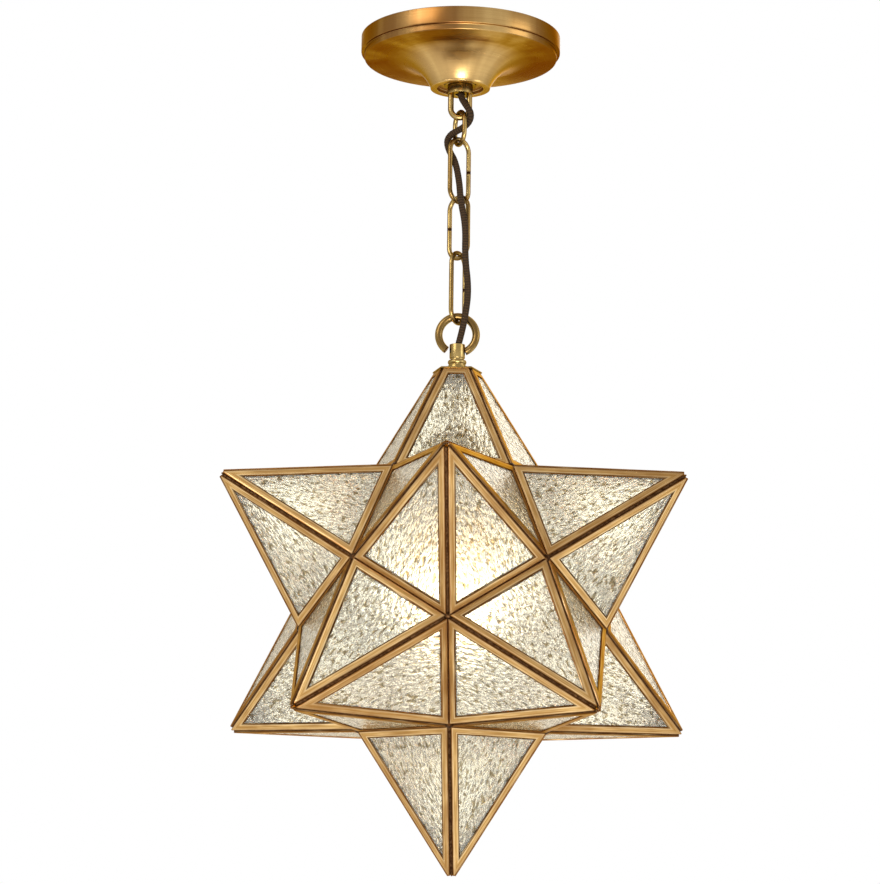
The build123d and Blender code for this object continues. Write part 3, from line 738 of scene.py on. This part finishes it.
# Hanging loop, four links and ring
chain = {
    "loopWire": 3.5, "loopHalfWidth": 5.55, "loopLeg": 8.6, "legInCollar": 0.6,
    "wire": 2.8, "gap": 0.15, "seam": 0.3,
    "halfWidths": (7.0, 7.5, 7.5, 7.5), "innerLengths": (17.2, 36.0, 34.6, 39.75),
    "angles": (64.2, -44.8, 41.2, -60.0), "seamSides": (-1, 1, -1, 1),
    "ringWire": 4.5, "ringRadius": 11.1, "ringStart": -66.0, "ringEnd": 235.0,
    "sides": 28, "bendSteps": 40, "ringSteps": 96, "smoothAngle": 50,
}


def wirePiece(name, points, diameter, body, slotName, replaced):
    finish = finishes[slotName].material
    values = {"Wire radius": diameter / 2 * mm, "Sides": chain["sides"], "Finish": finish}
    mesh = runNodes(lineObject(name, points), bentWire, values)
    mend(mesh, chain["smoothAngle"])
    put(name, mesh, body, slotName, replaced)


def makeChain():
    c = chain
    steps = c["bendSteps"]
    arcZ = collarZ - c["loopLeg"]
    legZ = collarZ + c["legInCollar"]
    half = c["loopHalfWidth"]
    bend = arcPoints((0, arcZ), half, 180, 360, steps)[1:]
    flat = [(-half, legZ), (-half, arcZ), *bend, (half, legZ)]
    points = [(x, 0, z) for x, z in flat]
    wirePiece("hangingLoop", points, c["loopWire"], "ceiling", "fitting_brass", "canopy_loop")
    hangZ, hangWire = arcZ - half, c["loopWire"]
    for number, inner in enumerate(c["innerLengths"]):
        half = c["halfWidths"][number]
        straight = inner + c["wire"] - 2 * half
        topZ = hangZ + (hangWire + c["wire"]) / 2 + c["gap"]
        bottomZ = topZ - inner - c["wire"]
        side = c["seamSides"][number]
        turn = math.radians(c["angles"][number])
        flat = [(half, c["seam"] / 2)] + arcPoints((0, straight / 2), half, 0, 180, steps)
        flat += arcPoints((0, -straight / 2), half, 180, 360, steps) + [(half, -c["seam"] / 2)]
        middle = (topZ + bottomZ) / 2
        points = [(side * x * math.cos(turn), -side * x * math.sin(turn), middle + z) for x, z in flat]
        body = f"link_{number + 1}"
        wirePiece(f"link{number + 1}", points, c["wire"], body, "chain_brass", f"chain_{body}")
        hangZ, hangWire = bottomZ, c["wire"]
    ringZ = hangZ + (hangWire + c["ringWire"]) / 2 + c["gap"] - c["ringRadius"]
    flat = arcPoints((0, ringZ), c["ringRadius"], c["ringStart"], c["ringEnd"], c["ringSteps"])
    points = [(x, 0, z) for x, z in flat]
    wirePiece("ring", points, c["ringWire"], "star", "fitting_brass", "star_ring")


makeChain()
print("chain made")

# The star's twelve points stand on the axes of an icosahedron's corners, and three points meet at each
# inner corner, "corner" away from the middle.
star = {"z": -344.768, "radius": 161.0, "corner": 95.06, "capZ": -206.068}
starCentre = Vector((0, 0, star["z"]))
doorPoint = "upper_point_3"


def pointing(azimuth, height):
    reach = math.sqrt(1 - height**2)
    turn = math.radians(azimuth)
    return Vector((reach * math.sin(turn), -reach * math.cos(turn), height))


ringHeight = 1 / math.sqrt(5)
fifthTurn = 360 / 5
axes = {"top_point": Vector((0, 0, 1))}
for number in range(5):
    axes[f"upper_point_{number + 1}"] = pointing(fifthTurn * number, ringHeight)
for number in range(5):
    axes[f"lower_point_{number + 1}"] = pointing(fifthTurn * (number + 0.5), -ringHeight)
axes["bottom_point"] = Vector((0, 0, -1))


def neighbours(name):
    axis = axes[name]
    side = axis.orthogonal().normalized()
    other = axis.cross(side)
    near = [key for key in axes if key != name and axes[key].dot(axis) > 0]
    return sorted(near, key=lambda key: math.atan2(axes[key].dot(other), axes[key].dot(side)))


def corner(first, second, third):
    return starCentre + (axes[first] + axes[second] + axes[third]).normalized() * star["corner"]


def leafEdge(name, number):
    around = neighbours(name)
    left = corner(name, around[number], around[number - 1])
    right = corner(name, around[number], around[(number + 1) % 5])
    return left, right


def leafPlace(name, number):
    left, right = leafEdge(name, number)
    middle = (left + right) / 2
    along = (right - left).normalized()
    rise = (starCentre + axes[name] * star["radius"] - middle).normalized()
    outward = along.cross(rise)
    return middle, along, rise, outward


def turnOf(along, rise, outward):
    return Matrix((along, rise, outward)).transposed().to_euler()


# A leaf is a frame of came around a pane. A relief is its height, its size and its share of dimples.
leaf = {
    "depth": 2.2, "wall": 0.35, "glass": 1.4, "play": 0.05, "came": 4.5, "web": 0.6,
    "valley": 0.2, "ridgePlay": 0.03, "tipCut": 5.2, "panePlay": 0.4, "bevel": 0.1,
    "crown": 0.14, "face": ((1.0, 0.7), (2.25, 1.0), (3.5, 0.7)),  # inset and share of the crown
    "outerEdge": ((0.0, -0.28), (0.07, -0.09), (0.26, 0.0)), "innerEdge": ((0.26, 0.0), (0.06, -0.1)),
    # how often the base, the right side, the tip and the left side are divided
    "wholeSides": (22, 28, 2, 28), "cutSides": (22, 26, 6, 26), "paneCuts": 58, "quickCuts": 30,
    "cameRelief": (0.05, 6.0, 0.0), "paneRelief": (0.5, 2.9, 1.0), "reliefFade": 1.2,
    "paneSmooth": 60, "toneSeed": 11,
}
firstLeft, firstRight = leafEdge("bottom_point", 0)
firstPlace = leafPlace("bottom_point", 0)
secondPlace = leafPlace("bottom_point", 1)
tipPoint = starCentre + axes["bottom_point"] * star["radius"]
leafHeight = (tipPoint - firstPlace[0]).length
halfTip = math.atan2((firstRight - firstLeft).length / 2, leafHeight)
leafTurn = firstPlace[3].angle(secondPlace[3])
ridgeInset = leaf["depth"] * math.tan(leafTurn / 2) + leaf["ridgePlay"]
topPlace = leafPlace("top_point", 0)
capCut = (star["capZ"] - topPlace[0].z) / topPlace[2].z
wholeTop = leafHeight - leaf["tipCut"]


# The four corners of a leaf's outline at an inset, the two upper ones together at a sharp tip.
def leafCorners(inset, top):
    def halfWidth(y):
        return (leafHeight - y) * math.tan(halfTip) - (ridgeInset + inset) / math.cos(halfTip)

    base = leaf["valley"] + inset
    apex = leafHeight - (ridgeInset + inset) / math.sin(halfTip)
    high = min(top - inset, apex)
    upper = max(halfWidth(high), 0.0)
    return [(-halfWidth(base), base), (halfWidth(base), base), (upper, high), (-upper, high)]


# The came's section as (inset, height) points, from the outer edge over the face into the groove
def cameSection():
    came, depth, wall, web = (leaf[key] for key in ("came", "depth", "wall", "web"))
    bevel, crown = leaf["bevel"], leaf["crown"]
    outer = [(0.0, bevel - depth), *leaf["outerEdge"]]
    face = [(inset, crown * share) for inset, share in leaf["face"]]
    edge = [(came - inset, height) for inset, height in leaf["innerEdge"]] + [(came, -wall)]
    groove = [(web, -wall), (web, wall - depth), (came, wall - depth)]
    back = [(came - bevel, -depth), (bevel, -depth)]
    return outer + face + edge + groove + back


def leafFrame(name, top, cuts):
    section = cameSection()
    rings = []
    for inset, height in section:
        corners = [Vector(place) for place in leafCorners(inset, top)]
        ring = []
        for start, end, steps in zip(corners, corners[1:] + corners[:1], cuts):
            ring += [(*start.lerp(end, step / steps), height) for step in range(steps)]
        rings.append(ring)
    points = [point for ring in rings for point in ring]
    faces = ringQuads(len(rings), len(rings[0]), closed=True)
    lengths = runningLengths(section)
    across = [length - lengths[1] for length in (*lengths, lengths[-1] + 1.0)]
    uvs = ringUvs(runningLengths(rings[0] + rings[0][:1]), across)
    mesh = toMesh(name, points, faces, "strip", uvs)
    mend(mesh)
    return mesh


# A pane is a slab of small triangles; the rim that sits in the came stays flat.
def leafPane(name, top, cuts):
    inset = leaf["web"] + leaf["panePlay"]
    left, right, _, _ = (Vector(place) for place in leafCorners(inset, top))
    tip = Vector((0, leafHeight - (ridgeInset + inset) / math.sin(halfTip)))
    work = bmesh.new()
    rows = []
    for row in range(cuts + 1):
        start, end = left.lerp(tip, row / cuts), right.lerp(tip, row / cuts)
        steps = cuts - row
        places = [start.lerp(end, step / max(steps, 1)) for step in range(steps + 1)]
        rows.append([work.verts.new((*place, 0)) for place in places])
    for low, high in zip(rows, rows[1:]):
        for step in range(len(high)):
            work.faces.new((low[step], low[step + 1], high[step]))
            if step + 1 < len(high):
                work.faces.new((low[step + 1], high[step + 1], high[step]))
    if top - inset < tip.y:
        everything = work.verts[:] + work.edges[:] + work.faces[:]
        cut = {"plane_co": (0, top - inset, 0), "plane_no": (0, 1, 0), "clear_outer": True}
        bmesh.ops.bisect_plane(work, geom=everything, **cut)
    face = -leaf["wall"] - leaf["play"]
    bmesh.ops.translate(work, verts=work.verts, vec=(0, 0, face))
    raised = bmesh.ops.extrude_face_region(work, geom=work.faces[:])
    lower = [item for item in raised["geom"] if isinstance(item, bmesh.types.BMVert)]
    bmesh.ops.translate(work, verts=lower, vec=(0, 0, -leaf["glass"]))
    mesh = bpy.data.meshes.new(name)
    work.to_mesh(mesh)
    work.free()
    mesh.transform(Matrix.Scale(mm, 4))
    mend(mesh, leaf["paneSmooth"])

    def freedom(place):
        x, y = place.x / mm, place.y / mm
        side = ((leafHeight - y) * math.tan(halfTip) - abs(x)) * math.cos(halfTip) - ridgeInset
        inside = min(side, y - leaf["valley"], top - y) - leaf["came"]
        return min(max(inside / leaf["reliefFade"], 0.0), 1.0)

    places = [vertex.co.copy() for vertex in mesh.vertices]
    addAttribute(mesh, "pane", "FLOAT_VECTOR", places)
    addAttribute(mesh, "free", "FLOAT", [freedom(place) for place in places])
    return mesh


# Sets copies of a part out on the carrier's points, each with its "turn" and its "stretch" along Z, and
# raises a relief where the part is "free".
def setOutGroup():
    sockets = [("Part", "Object"), ("Finish", "Material")]
    sockets += [(label, "Float") for label in ("Relief", "Relief size", "Dimpled")]
    board, inputs = nodeGroup("setOut", sockets)

    def named(name, kind):
        return board.node("GeometryNodeInputNamedAttribute", {"data_type": kind}, {"Name": name})

    part = board.node("GeometryNodeObjectInfo", values={"Object": inputs["Part"]}, output="Geometry")
    values = {
        "Points": inputs["Geometry"], "Instance": part, "Rotation": named("turn", "FLOAT_VECTOR"),
        "Scale": board.vector(1.0, 1.0, named("stretch", "FLOAT")),
    }
    parts = board.node("GeometryNodeInstanceOnPoints", values=values)
    solid = board.node("GeometryNodeRealizeInstances", values={"Geometry": parts})
    place = board.node("GeometryNodeInputPosition")
    density = 1.0 / inputs["Relief size"]
    noise = board.cloud(place, density, 1.0)
    cells = {"Vector": place, "Scale": density, "Smoothness": 0.5}
    dimples = board.node("ShaderNodeTexVoronoi", {"feature": "SMOOTH_F1"}, cells)
    height = noise * (1.0 - inputs["Dimpled"]) + dimples * inputs["Dimpled"] - 0.5
    raised = height * inputs["Relief"] * named("free", "FLOAT")
    along = {0: board.node("GeometryNodeInputNormal"), "Scale": raised}
    offset = board.node("ShaderNodeVectorMath", {"operation": "SCALE"}, along)
    moved = board.node("GeometryNodeSetPosition", values={"Geometry": solid, "Offset": offset})
    return endGroup(board, moved, inputs["Finish"])


setOut = setOutGroup()


# Each place is (point, turn, stretch), and each tone is that copy's own share of patina.
def setOutPiece(name, part, places, body, slotName, replaced, relief, smoothAngle=35, tones=()):
    height, size, dimpled = relief
    carrierMesh = bpy.data.meshes.new(name)
    carrierMesh.from_pydata([place * mm for place, _, _ in places], [], [])
    addAttribute(carrierMesh, "turn", "FLOAT_VECTOR", [turn for _, turn, _ in places])
    addAttribute(carrierMesh, "stretch", "FLOAT", [stretch for _, _, stretch in places])
    addAttribute(carrierMesh, "tone", "FLOAT", tones)
    values = {
        "Part": part, "Finish": finishes[slotName].material, "Relief": height * mm,
        "Relief size": size * mm, "Dimpled": dimpled,
    }
    mesh = runNodes(addObject(name, carrierMesh), setOut, values)
    smooth(mesh, smoothAngle)
    put(name, mesh, body, slotName, replaced)


def template(name, mesh):
    if "free" not in mesh.attributes:
        addAttribute(mesh, "free", "FLOAT", [1.0] * len(mesh.vertices))
    return addObject(name, mesh)


def makeLeaves():
    fine = leaf["paneCuts"]
    wholeFrame = template("leafFrame", leafFrame("leafFrame", wholeTop, leaf["wholeSides"]))
    cutFrame = template("cutFrame", leafFrame("cutFrame", capCut, leaf["cutSides"]))
    wholePane = template("leafPane", leafPane("leafPane", wholeTop, fine))
    cutPane = template("cutPane", leafPane("cutPane", capCut, fine))
    chance = random.Random(leaf["toneSeed"])
    for name in axes:
        body = "door" if name == doorPoint else "star"
        cameFrame, pane = (cutFrame, cutPane) if name == "top_point" else (wholeFrame, wholePane)
        places, tones = [], []
        for number in range(5):
            middle, *directions = leafPlace(name, number)
            places.append((middle, turnOf(*directions), 1.0))
            tones.append(chance.random())
        plain = name.title().replace("_", "")
        setOutPiece(
            f"cames{plain}", cameFrame, places, body, "came_brass", f"{name}_frame",
            leaf["cameRelief"], tones=tones,
        )
        setOutPiece(
            f"panes{plain}", pane, places, body, "hammered_glass", f"{name}_glass",
            leaf["paneRelief"], leaf["paneSmooth"], tones,
        )
    for part in (wholeFrame, cutFrame, wholePane, cutPane):
        bpy.data.objects.remove(part)


makeLeaves()
print("cames and panes made")

# Solder: Y of a seam's section points outwards and Z runs along the seam.
seam = {
    "cornerGap": 1.5, "tipGap": 0.3, "fill": 1.0, "floor": 0.2, "rows": 60,
    "sag": 0.12, "sagSide": 0.5, "sagMiddle": 1.4, "relief": (0.35, 2.4, 0.0),
    "blob": 2.3, "blobDepth": 2.0, "blobDetail": 3, "blobRelief": (0.8, 1.8, 0.0),
}


def seamMesh(name, sideInset, opening):
    along = Vector((math.cos(opening), -math.sin(opening)))
    inward = Vector((-math.sin(opening), -math.cos(opening)))
    top = along * sideInset + inward * seam["fill"]
    bottom = along * sideInset + inward * (leaf["depth"] - seam["floor"])
    half, sunk = top.x * seam["sagSide"], top.y - seam["sag"]
    section = [(-top.x, top.y), (-half, sunk), (0, top.y - seam["sag"] * seam["sagMiddle"])]
    section += [(half, sunk), (top.x, top.y), (bottom.x, bottom.y), (-bottom.x, bottom.y)]
    rows, count = seam["rows"], len(section)
    points = [(x, y, row / rows / mm) for row in range(rows + 1) for x, y in section]
    ends = [tuple(range(count)), tuple(rows * count + number for number in reversed(range(count)))]
    mesh = toMesh(name, points, ends + ringQuads(rows + 1, count))
    mend(mesh)
    return mesh


def seamPlace(start, end, firstNormal, secondNormal, endCut):
    run = (end - start).normalized()
    outward = (firstNormal + secondNormal).normalized()
    length = (end - start).length - seam["cornerGap"] - endCut
    return start + run * seam["cornerGap"], turnOf(outward.cross(run), outward, run), length * mm


def ridgePlaces(name):
    places = []
    for number in range(5):
        normal = leafPlace(name, number)[3]
        nextNormal = leafPlace(name, (number + 1) % 5)[3]
        start = leafEdge(name, number)[1]
        tip = starCentre + axes[name] * star["radius"]
        endCut = leaf["tipCut"]
        if name == "top_point":
            endCut = (tip.z - star["capZ"]) / (tip.z - start.z) * (tip - start).length
        places.append(seamPlace(start, tip, normal, nextNormal, endCut + seam["tipGap"]))
    return places


def facingNormal(name, other):
    return leafPlace(other, neighbours(other).index(name))[3]


def valleyPlaces():
    places = []
    names = list(axes)
    for name in names:
        for number, other in enumerate(neighbours(name)):
            if doorPoint in (name, other) or names.index(name) > names.index(other):
                continue
            left, right = leafEdge(name, number)
            normal = leafPlace(name, number)[3]
            places.append(seamPlace(left, right, normal, facingNormal(name, other), seam["cornerGap"]))
    return places


# A drop of solder behind each inner corner that the door doesn't touch.
def blobPlaces():
    corners = {}
    for name in axes:
        around = neighbours(name)
        for number, other in enumerate(around):
            third = around[(number + 1) % 5]
            if doorPoint not in (name, other, third):
                corners[frozenset((name, other, third))] = corner(name, other, third)
    back = seam["blobDepth"]
    drops = [place - (place - starCentre).normalized() * back for place in corners.values()]
    return [(drop, (0.0, 0.0, 0.0), 1.0) for drop in drops]


def blobMesh():
    work = bmesh.new()
    bmesh.ops.create_icosphere(work, subdivisions=seam["blobDetail"], radius=seam["blob"] * mm)
    mesh = bpy.data.meshes.new("blob")
    work.to_mesh(mesh)
    work.free()
    return mesh


def makeSeams():
    topNormal = leafPlace("top_point", 0)[3]
    valleyTurn = topNormal.angle(facingNormal("top_point", neighbours("top_point")[0]))
    ridge = template("ridgeSeam", seamMesh("ridgeSeam", ridgeInset, leafTurn / 2))
    valley = template("valleySeam", seamMesh("valleySeam", leaf["valley"], -valleyTurn / 2))
    blob = template("blob", blobMesh())
    fixed = [place for name in axes if name != doorPoint for place in ridgePlaces(name)]
    onStar, onDoor = ("star", "solder", "solder_seams"), ("door", "solder", "door_solder_seams")
    setOutPiece("ridgeSolder", ridge, fixed, *onStar, seam["relief"])
    setOutPiece("valleySolder", valley, valleyPlaces(), *onStar, seam["relief"])
    setOutPiece("doorSolder", ridge, ridgePlaces(doorPoint), *onDoor, seam["relief"])
    setOutPiece("cornerSolder", blob, blobPlaces(), *onStar, seam["blobRelief"])
    for part in (ridge, valley, blob):
        bpy.data.objects.remove(part)


makeSeams()
print("solder seams made")

# The five-sided plate that closes the cut-off top point
capPlate = {
    "thickness": 1.0, "belowTip": 22.3, "overhang": 0.4, "hole": 4.05, "segments": 60,
    "bevelShare": 0.97, "lowerBevel": 0.25, "upperBevel": 0.3,
}


def makeCapPlate():
    c = capPlate
    left = leafEdge("top_point", 0)[0]
    tipZ = star["z"] + star["radius"]
    spread = Vector((left.x, left.y)).length * c["belowTip"] / (tipZ - left.z) + c["overhang"]
    bottom, top = star["capZ"], star["capZ"] + c["thickness"]
    middleTurn = math.atan2(left.y, left.x)
    profile = [(0.0, bottom), (c["bevelShare"], bottom), (1.0, bottom + c["lowerBevel"])]
    profile += [(1.0, top - c["upperBevel"]), (c["bevelShare"], top), (0.0, top)]
    points = []
    for number in range(c["segments"]):
        turn = math.tau * number / c["segments"]
        fromSide = (turn - middleTurn) % (math.tau / 5) - math.tau / 10
        edgeRadius = spread * math.cos(math.tau / 10) / math.cos(fromSide)
        for share, z in profile:
            radius = c["hole"] + (edgeRadius - c["hole"]) * share
            points.append((radius * math.cos(turn), radius * math.sin(turn), z))
    mesh = toMesh("capPlate", points, ringQuads(c["segments"], len(profile), closed=True))
    mend(mesh)
    put("capPlate", mesh, "star", "came_brass", "cap_plate", finish="hinge_brass")


makeCapPlate()

# The lamp's glass and the lit core in it; core is its radius, half its height and its place above the
# middle of the bulb.
lamp = {
    "baseZ": -283.068, "baseRadius": 13.0, "neck": (13.6, 14.0), "bulb": 30.0, "drop": 52.0, "wall": 0.9,
    "arc": (45, -90), "arcSteps": 30, "segments": 64,
    "core": (4.5, 11.0, -8.0), "coreTaper": 3, "coreSegments": 32,
}


def makeLamp():
    baseZ, baseRadius, wall = lamp["baseZ"], lamp["baseRadius"], lamp["wall"]
    neckRadius, neckLength = lamp["neck"]
    neckZ = baseZ - neckLength
    centre = (0, baseZ - lamp["drop"])
    start, end = lamp["arc"]
    outer = [(baseRadius, baseZ), (neckRadius, neckZ)]
    outer += arcPoints(centre, lamp["bulb"], start, end, lamp["arcSteps"])
    inner = arcPoints(centre, lamp["bulb"] - wall, end, start, lamp["arcSteps"])
    inner += [(neckRadius - wall, neckZ), (baseRadius - wall, baseZ)]
    mesh = turnedMesh("bulb", outer + inner, lamp["segments"])
    put("bulb", mesh, "star", "lamp_glass", "lamp_glass")
    width, height, shift = lamp["core"]
    middle = centre[1] + shift
    top, bottom = middle + height, middle - height
    outline = [(0, top), (width, top - lamp["coreTaper"]), (width, bottom + lamp["coreTaper"]), (0, bottom)]
    mesh = turnedMesh("lampCore", outline, lamp["coreSegments"])
    put("lampCore", mesh, "star", "lamp_glass", finish="lamp_core")


makeLamp()

# The CAD nodes that stay take their slot's finish; small came brass pieces look like the hinge.
slots = {entry["node"]: entry["material_slot"] for entry in frame["record"]["subparts"]}
for name, node in frame["nodes"].items():
    dress(node.data, "hinge_brass" if slots[name] == "came_brass" else slots[name])

# One cord on one route, in five lengths that each cross one joint.
cord = {
    "radius": 2.0, "sides": 24, "pitch": 3.2, "step": 0.45, "order": 3, "resolution": 24,
    "relief": 0.14, "weaveShare": 0.5, "weaveDrop": 0.2, "smoothAngle": 60,
    "cuts": (-58.5, -88.0, -119.5, -154.0),
    "blends": ((-43.0, -57.5), (-60.0, -76.0), (-93.0, -111.0), (-128.0, -146.0), (-166.0, -185.0)),
    "bodies": ("ceiling", "link_1", "link_2", "link_3", "link_4", "star"),
    "route": [
        (0, 0, -1), (0.3, 0.1, -12), (-0.2, 0.2, -24), (0.1, 0.1, -36.5), (3.8, -4.8, -43.5),
        (7.2, -5.6, -49), (5.6, -2.6, -54), (0.2, 0.8, -57), (-5.4, 3.4, -59), (-8, 3.4, -63.5),
        (-6.4, 1.4, -70), (-2.2, -2.4, -78), (0.4, -6.2, -92), (1.2, -8.6, -103),
        (4.6, -9.6, -120), (4.2, -8.6, -138), (6.6, -5.6, -157), (4.8, -5.4, -173),
        (2.4, -1.4, -183), (0.2, 0.2, -191), (0.1, -0.2, -204), (0, 0, -217), (0, 0, -238.068),
    ],
}


# The route in even steps
def cordLine():
    line = lineObject("cordRoute", cord["route"], "NURBS")
    line.data.resolution_u = cord["resolution"]
    spline = line.data.splines[0]
    spline.order_u = cord["order"]
    spline.use_endpoint_u = True
    points = [vertex.co.copy() for vertex in evaluatedMesh(line).vertices]
    stride = cord["step"] * mm
    even, spare = [points[0]], 0.0
    for before, after in zip(points, points[1:]):
        length = (after - before).length
        while spare + length >= stride:
            before = before.lerp(after, (stride - spare) / length)
            length = (after - before).length
            even.append(before)
            spare = 0.0
        spare += length
    even[-1] = points[-1]
    return even


# Rings of points around the line, raised and lowered where the strands cross
def cordRings(line, runs):
    sides, strands = cord["sides"], braidLook["strands"]
    rings, side = [], Vector((1, 0, 0))
    for number, centre in enumerate(line):
        before, after = line[max(number - 1, 0)], line[min(number + 1, len(line) - 1)]
        tangent = (after - before).normalized()
        side = (side - tangent * side.dot(tangent)).normalized()
        other = tangent.cross(side)
        ring = []
        for step in range(sides):
            turn = math.tau * step / sides
            around = strands * step / sides
            weave = math.sin(math.tau * (around + runs[number]))
            weave *= math.sin(math.tau * (around - runs[number]))
            raised = cord["relief"] * (weave * cord["weaveShare"] - cord["weaveDrop"])
            radius = (cord["radius"] + raised) * mm
            ring.append(centre + (side * math.cos(turn) + other * math.sin(turn)) * radius)
        rings.append(ring)
    return rings


def cordMesh(name, rings, runs):
    sides = cord["sides"]
    points = [point / mm for ring in rings for point in ring]
    last = (len(rings) - 1) * sides
    faces = ringQuads(len(rings), sides)
    faces += [tuple(reversed(range(sides))), tuple(range(last, last + sides))]
    uvs = ringUvs(shares(sides), runs) + [(0.0, 0.0)] * (2 * sides)
    mesh = toMesh(name, points, faces, "braid", uvs)
    smooth(mesh, cord["smoothAngle"])
    return mesh


def makeCord():
    line = cordLine()
    runs = [number * cord["step"] / cord["pitch"] for number in range(len(line))]
    rings = cordRings(line, runs)
    marks = [0]
    for cut in cord["cuts"]:
        marks.append(next(number for number, centre in enumerate(line) if centre.z < cut * mm))
    marks.append(len(line) - 1)
    for part, (start, end) in enumerate(zip(marks, marks[1:])):
        name = f"cord{part + 1}"
        mesh = cordMesh(name, rings[start : end + 1], runs[start : end + 1])
        piece = put(name, mesh, None, "cord_cloth", "power_cord")
        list(cord["bodies"][part : part + 2])
        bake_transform(piece)
        path = line[start : end + 1]
        length = sum((after - before).length for before, after in zip(path, path[1:]))
        print(f"cord {part + 1}: {length / mm:.1f} mm")


makeCord()
print("cord made")


# Floor, lamps and world, in metres and watts: a lamp has its name, place, size and power.
studio = {
    "floorZ": -0.82, "floorSize": 6.0, "floorGrey": 0.85, "floorRoughness": 0.9, "floorGlow": 0.32,
    "background": 1.0, "fill": 0.8, "aim": (0, 0, -0.3),
    "lamps": (
        ("key", (-1.1, -1.3, 0.7), 0.9, 18.0),
        ("side", (1.6, -0.5, 0.1), 0.7, 5.0),
        ("back", (0.3, 1.6, 0.5), 1.4, 9.0),
        ("low", (0.1, -1.0, -0.75), 0.5, 18.0),
    ),
}


# 1 for rays that come from the camera straight, mirrored or through glass
def seenDirectly(board):
    kinds = ("Camera", "Glossy", "Transmission")
    rays = [board.node("ShaderNodeLightPath", output=f"Is {kind} Ray") for kind in kinds]
    return board.maths("MAXIMUM", board.maths("MAXIMUM", rays[0], rays[1]), rays[2])


def makeFloor():
    half, grey = studio["floorSize"] / 2, studio["floorGrey"]
    corners = [(-half, -half), (half, -half), (half, half), (-half, half)]
    mesh = bpy.data.meshes.new("floor")
    mesh.from_pydata([(x, y, studio["floorZ"]) for x, y in corners], [], [(0, 1, 2, 3)])
    finish = Finish("paleFloor", {"Roughness": studio["floorRoughness"]})
    finish.paint({"Base Color": colour(grey, grey, grey), "Emission Color": seenDirectly(finish)})
    finish.paint({"Emission Strength": studio["floorGlow"]})
    mesh.materials.append(finish.material)
    addObject("floor", mesh)


def makeWorld():
    world = bpy.data.worlds.new("studio")
    world.use_nodes = True
    board = Board(world.node_tree)
    strength = studio["fill"] + seenDirectly(board) * (studio["background"] - studio["fill"])
    board.feed(world.node_tree.nodes["Background"], {"Color": colour(1, 1, 1), "Strength": strength})
    bpy.context.scene.world = world


def makeLamps():
    target = Vector(studio["aim"])
    for name, place, size, power in studio["lamps"]:
        light = bpy.data.lights.new(name, "AREA")
        light.size = size
        light.energy = power
        lampObject = addObject(name, light)
        lampObject.location = place
        lampObject.rotation_euler = (target - Vector(place)).to_track_quat("-Z", "Y").to_euler()


# The photograph's camera: place in metres, lens in millimetres, angles in degrees
view = {
    "place": (0.06387, -1.65371, -0.55045), "turn": 2.5432, "tilt": 10.3481, "roll": 0.7076,
    "lens": 116.83, "sensor": 36.0,
}


def makeCamera():
    data = bpy.data.cameras.new("camera")
    data.lens = view["lens"]
    data.sensor_width = view["sensor"]
    data.sensor_fit = "HORIZONTAL"
    camera = addObject("camera", data)
    turn = Matrix.Rotation(math.radians(view["turn"]), 4, "Z")
    turn @= Matrix.Rotation(math.radians(90 + view["tilt"]), 4, "X")
    turn @= Matrix.Rotation(math.radians(view["roll"]), 4, "Z")
    camera.matrix_world = Matrix.Translation(view["place"]) @ turn
    bpy.context.scene.camera = camera


makeFloor()
makeWorld()
makeLamps()
makeCamera()
bpy.context.scene.view_settings.view_transform = "Standard"
print("studio made")
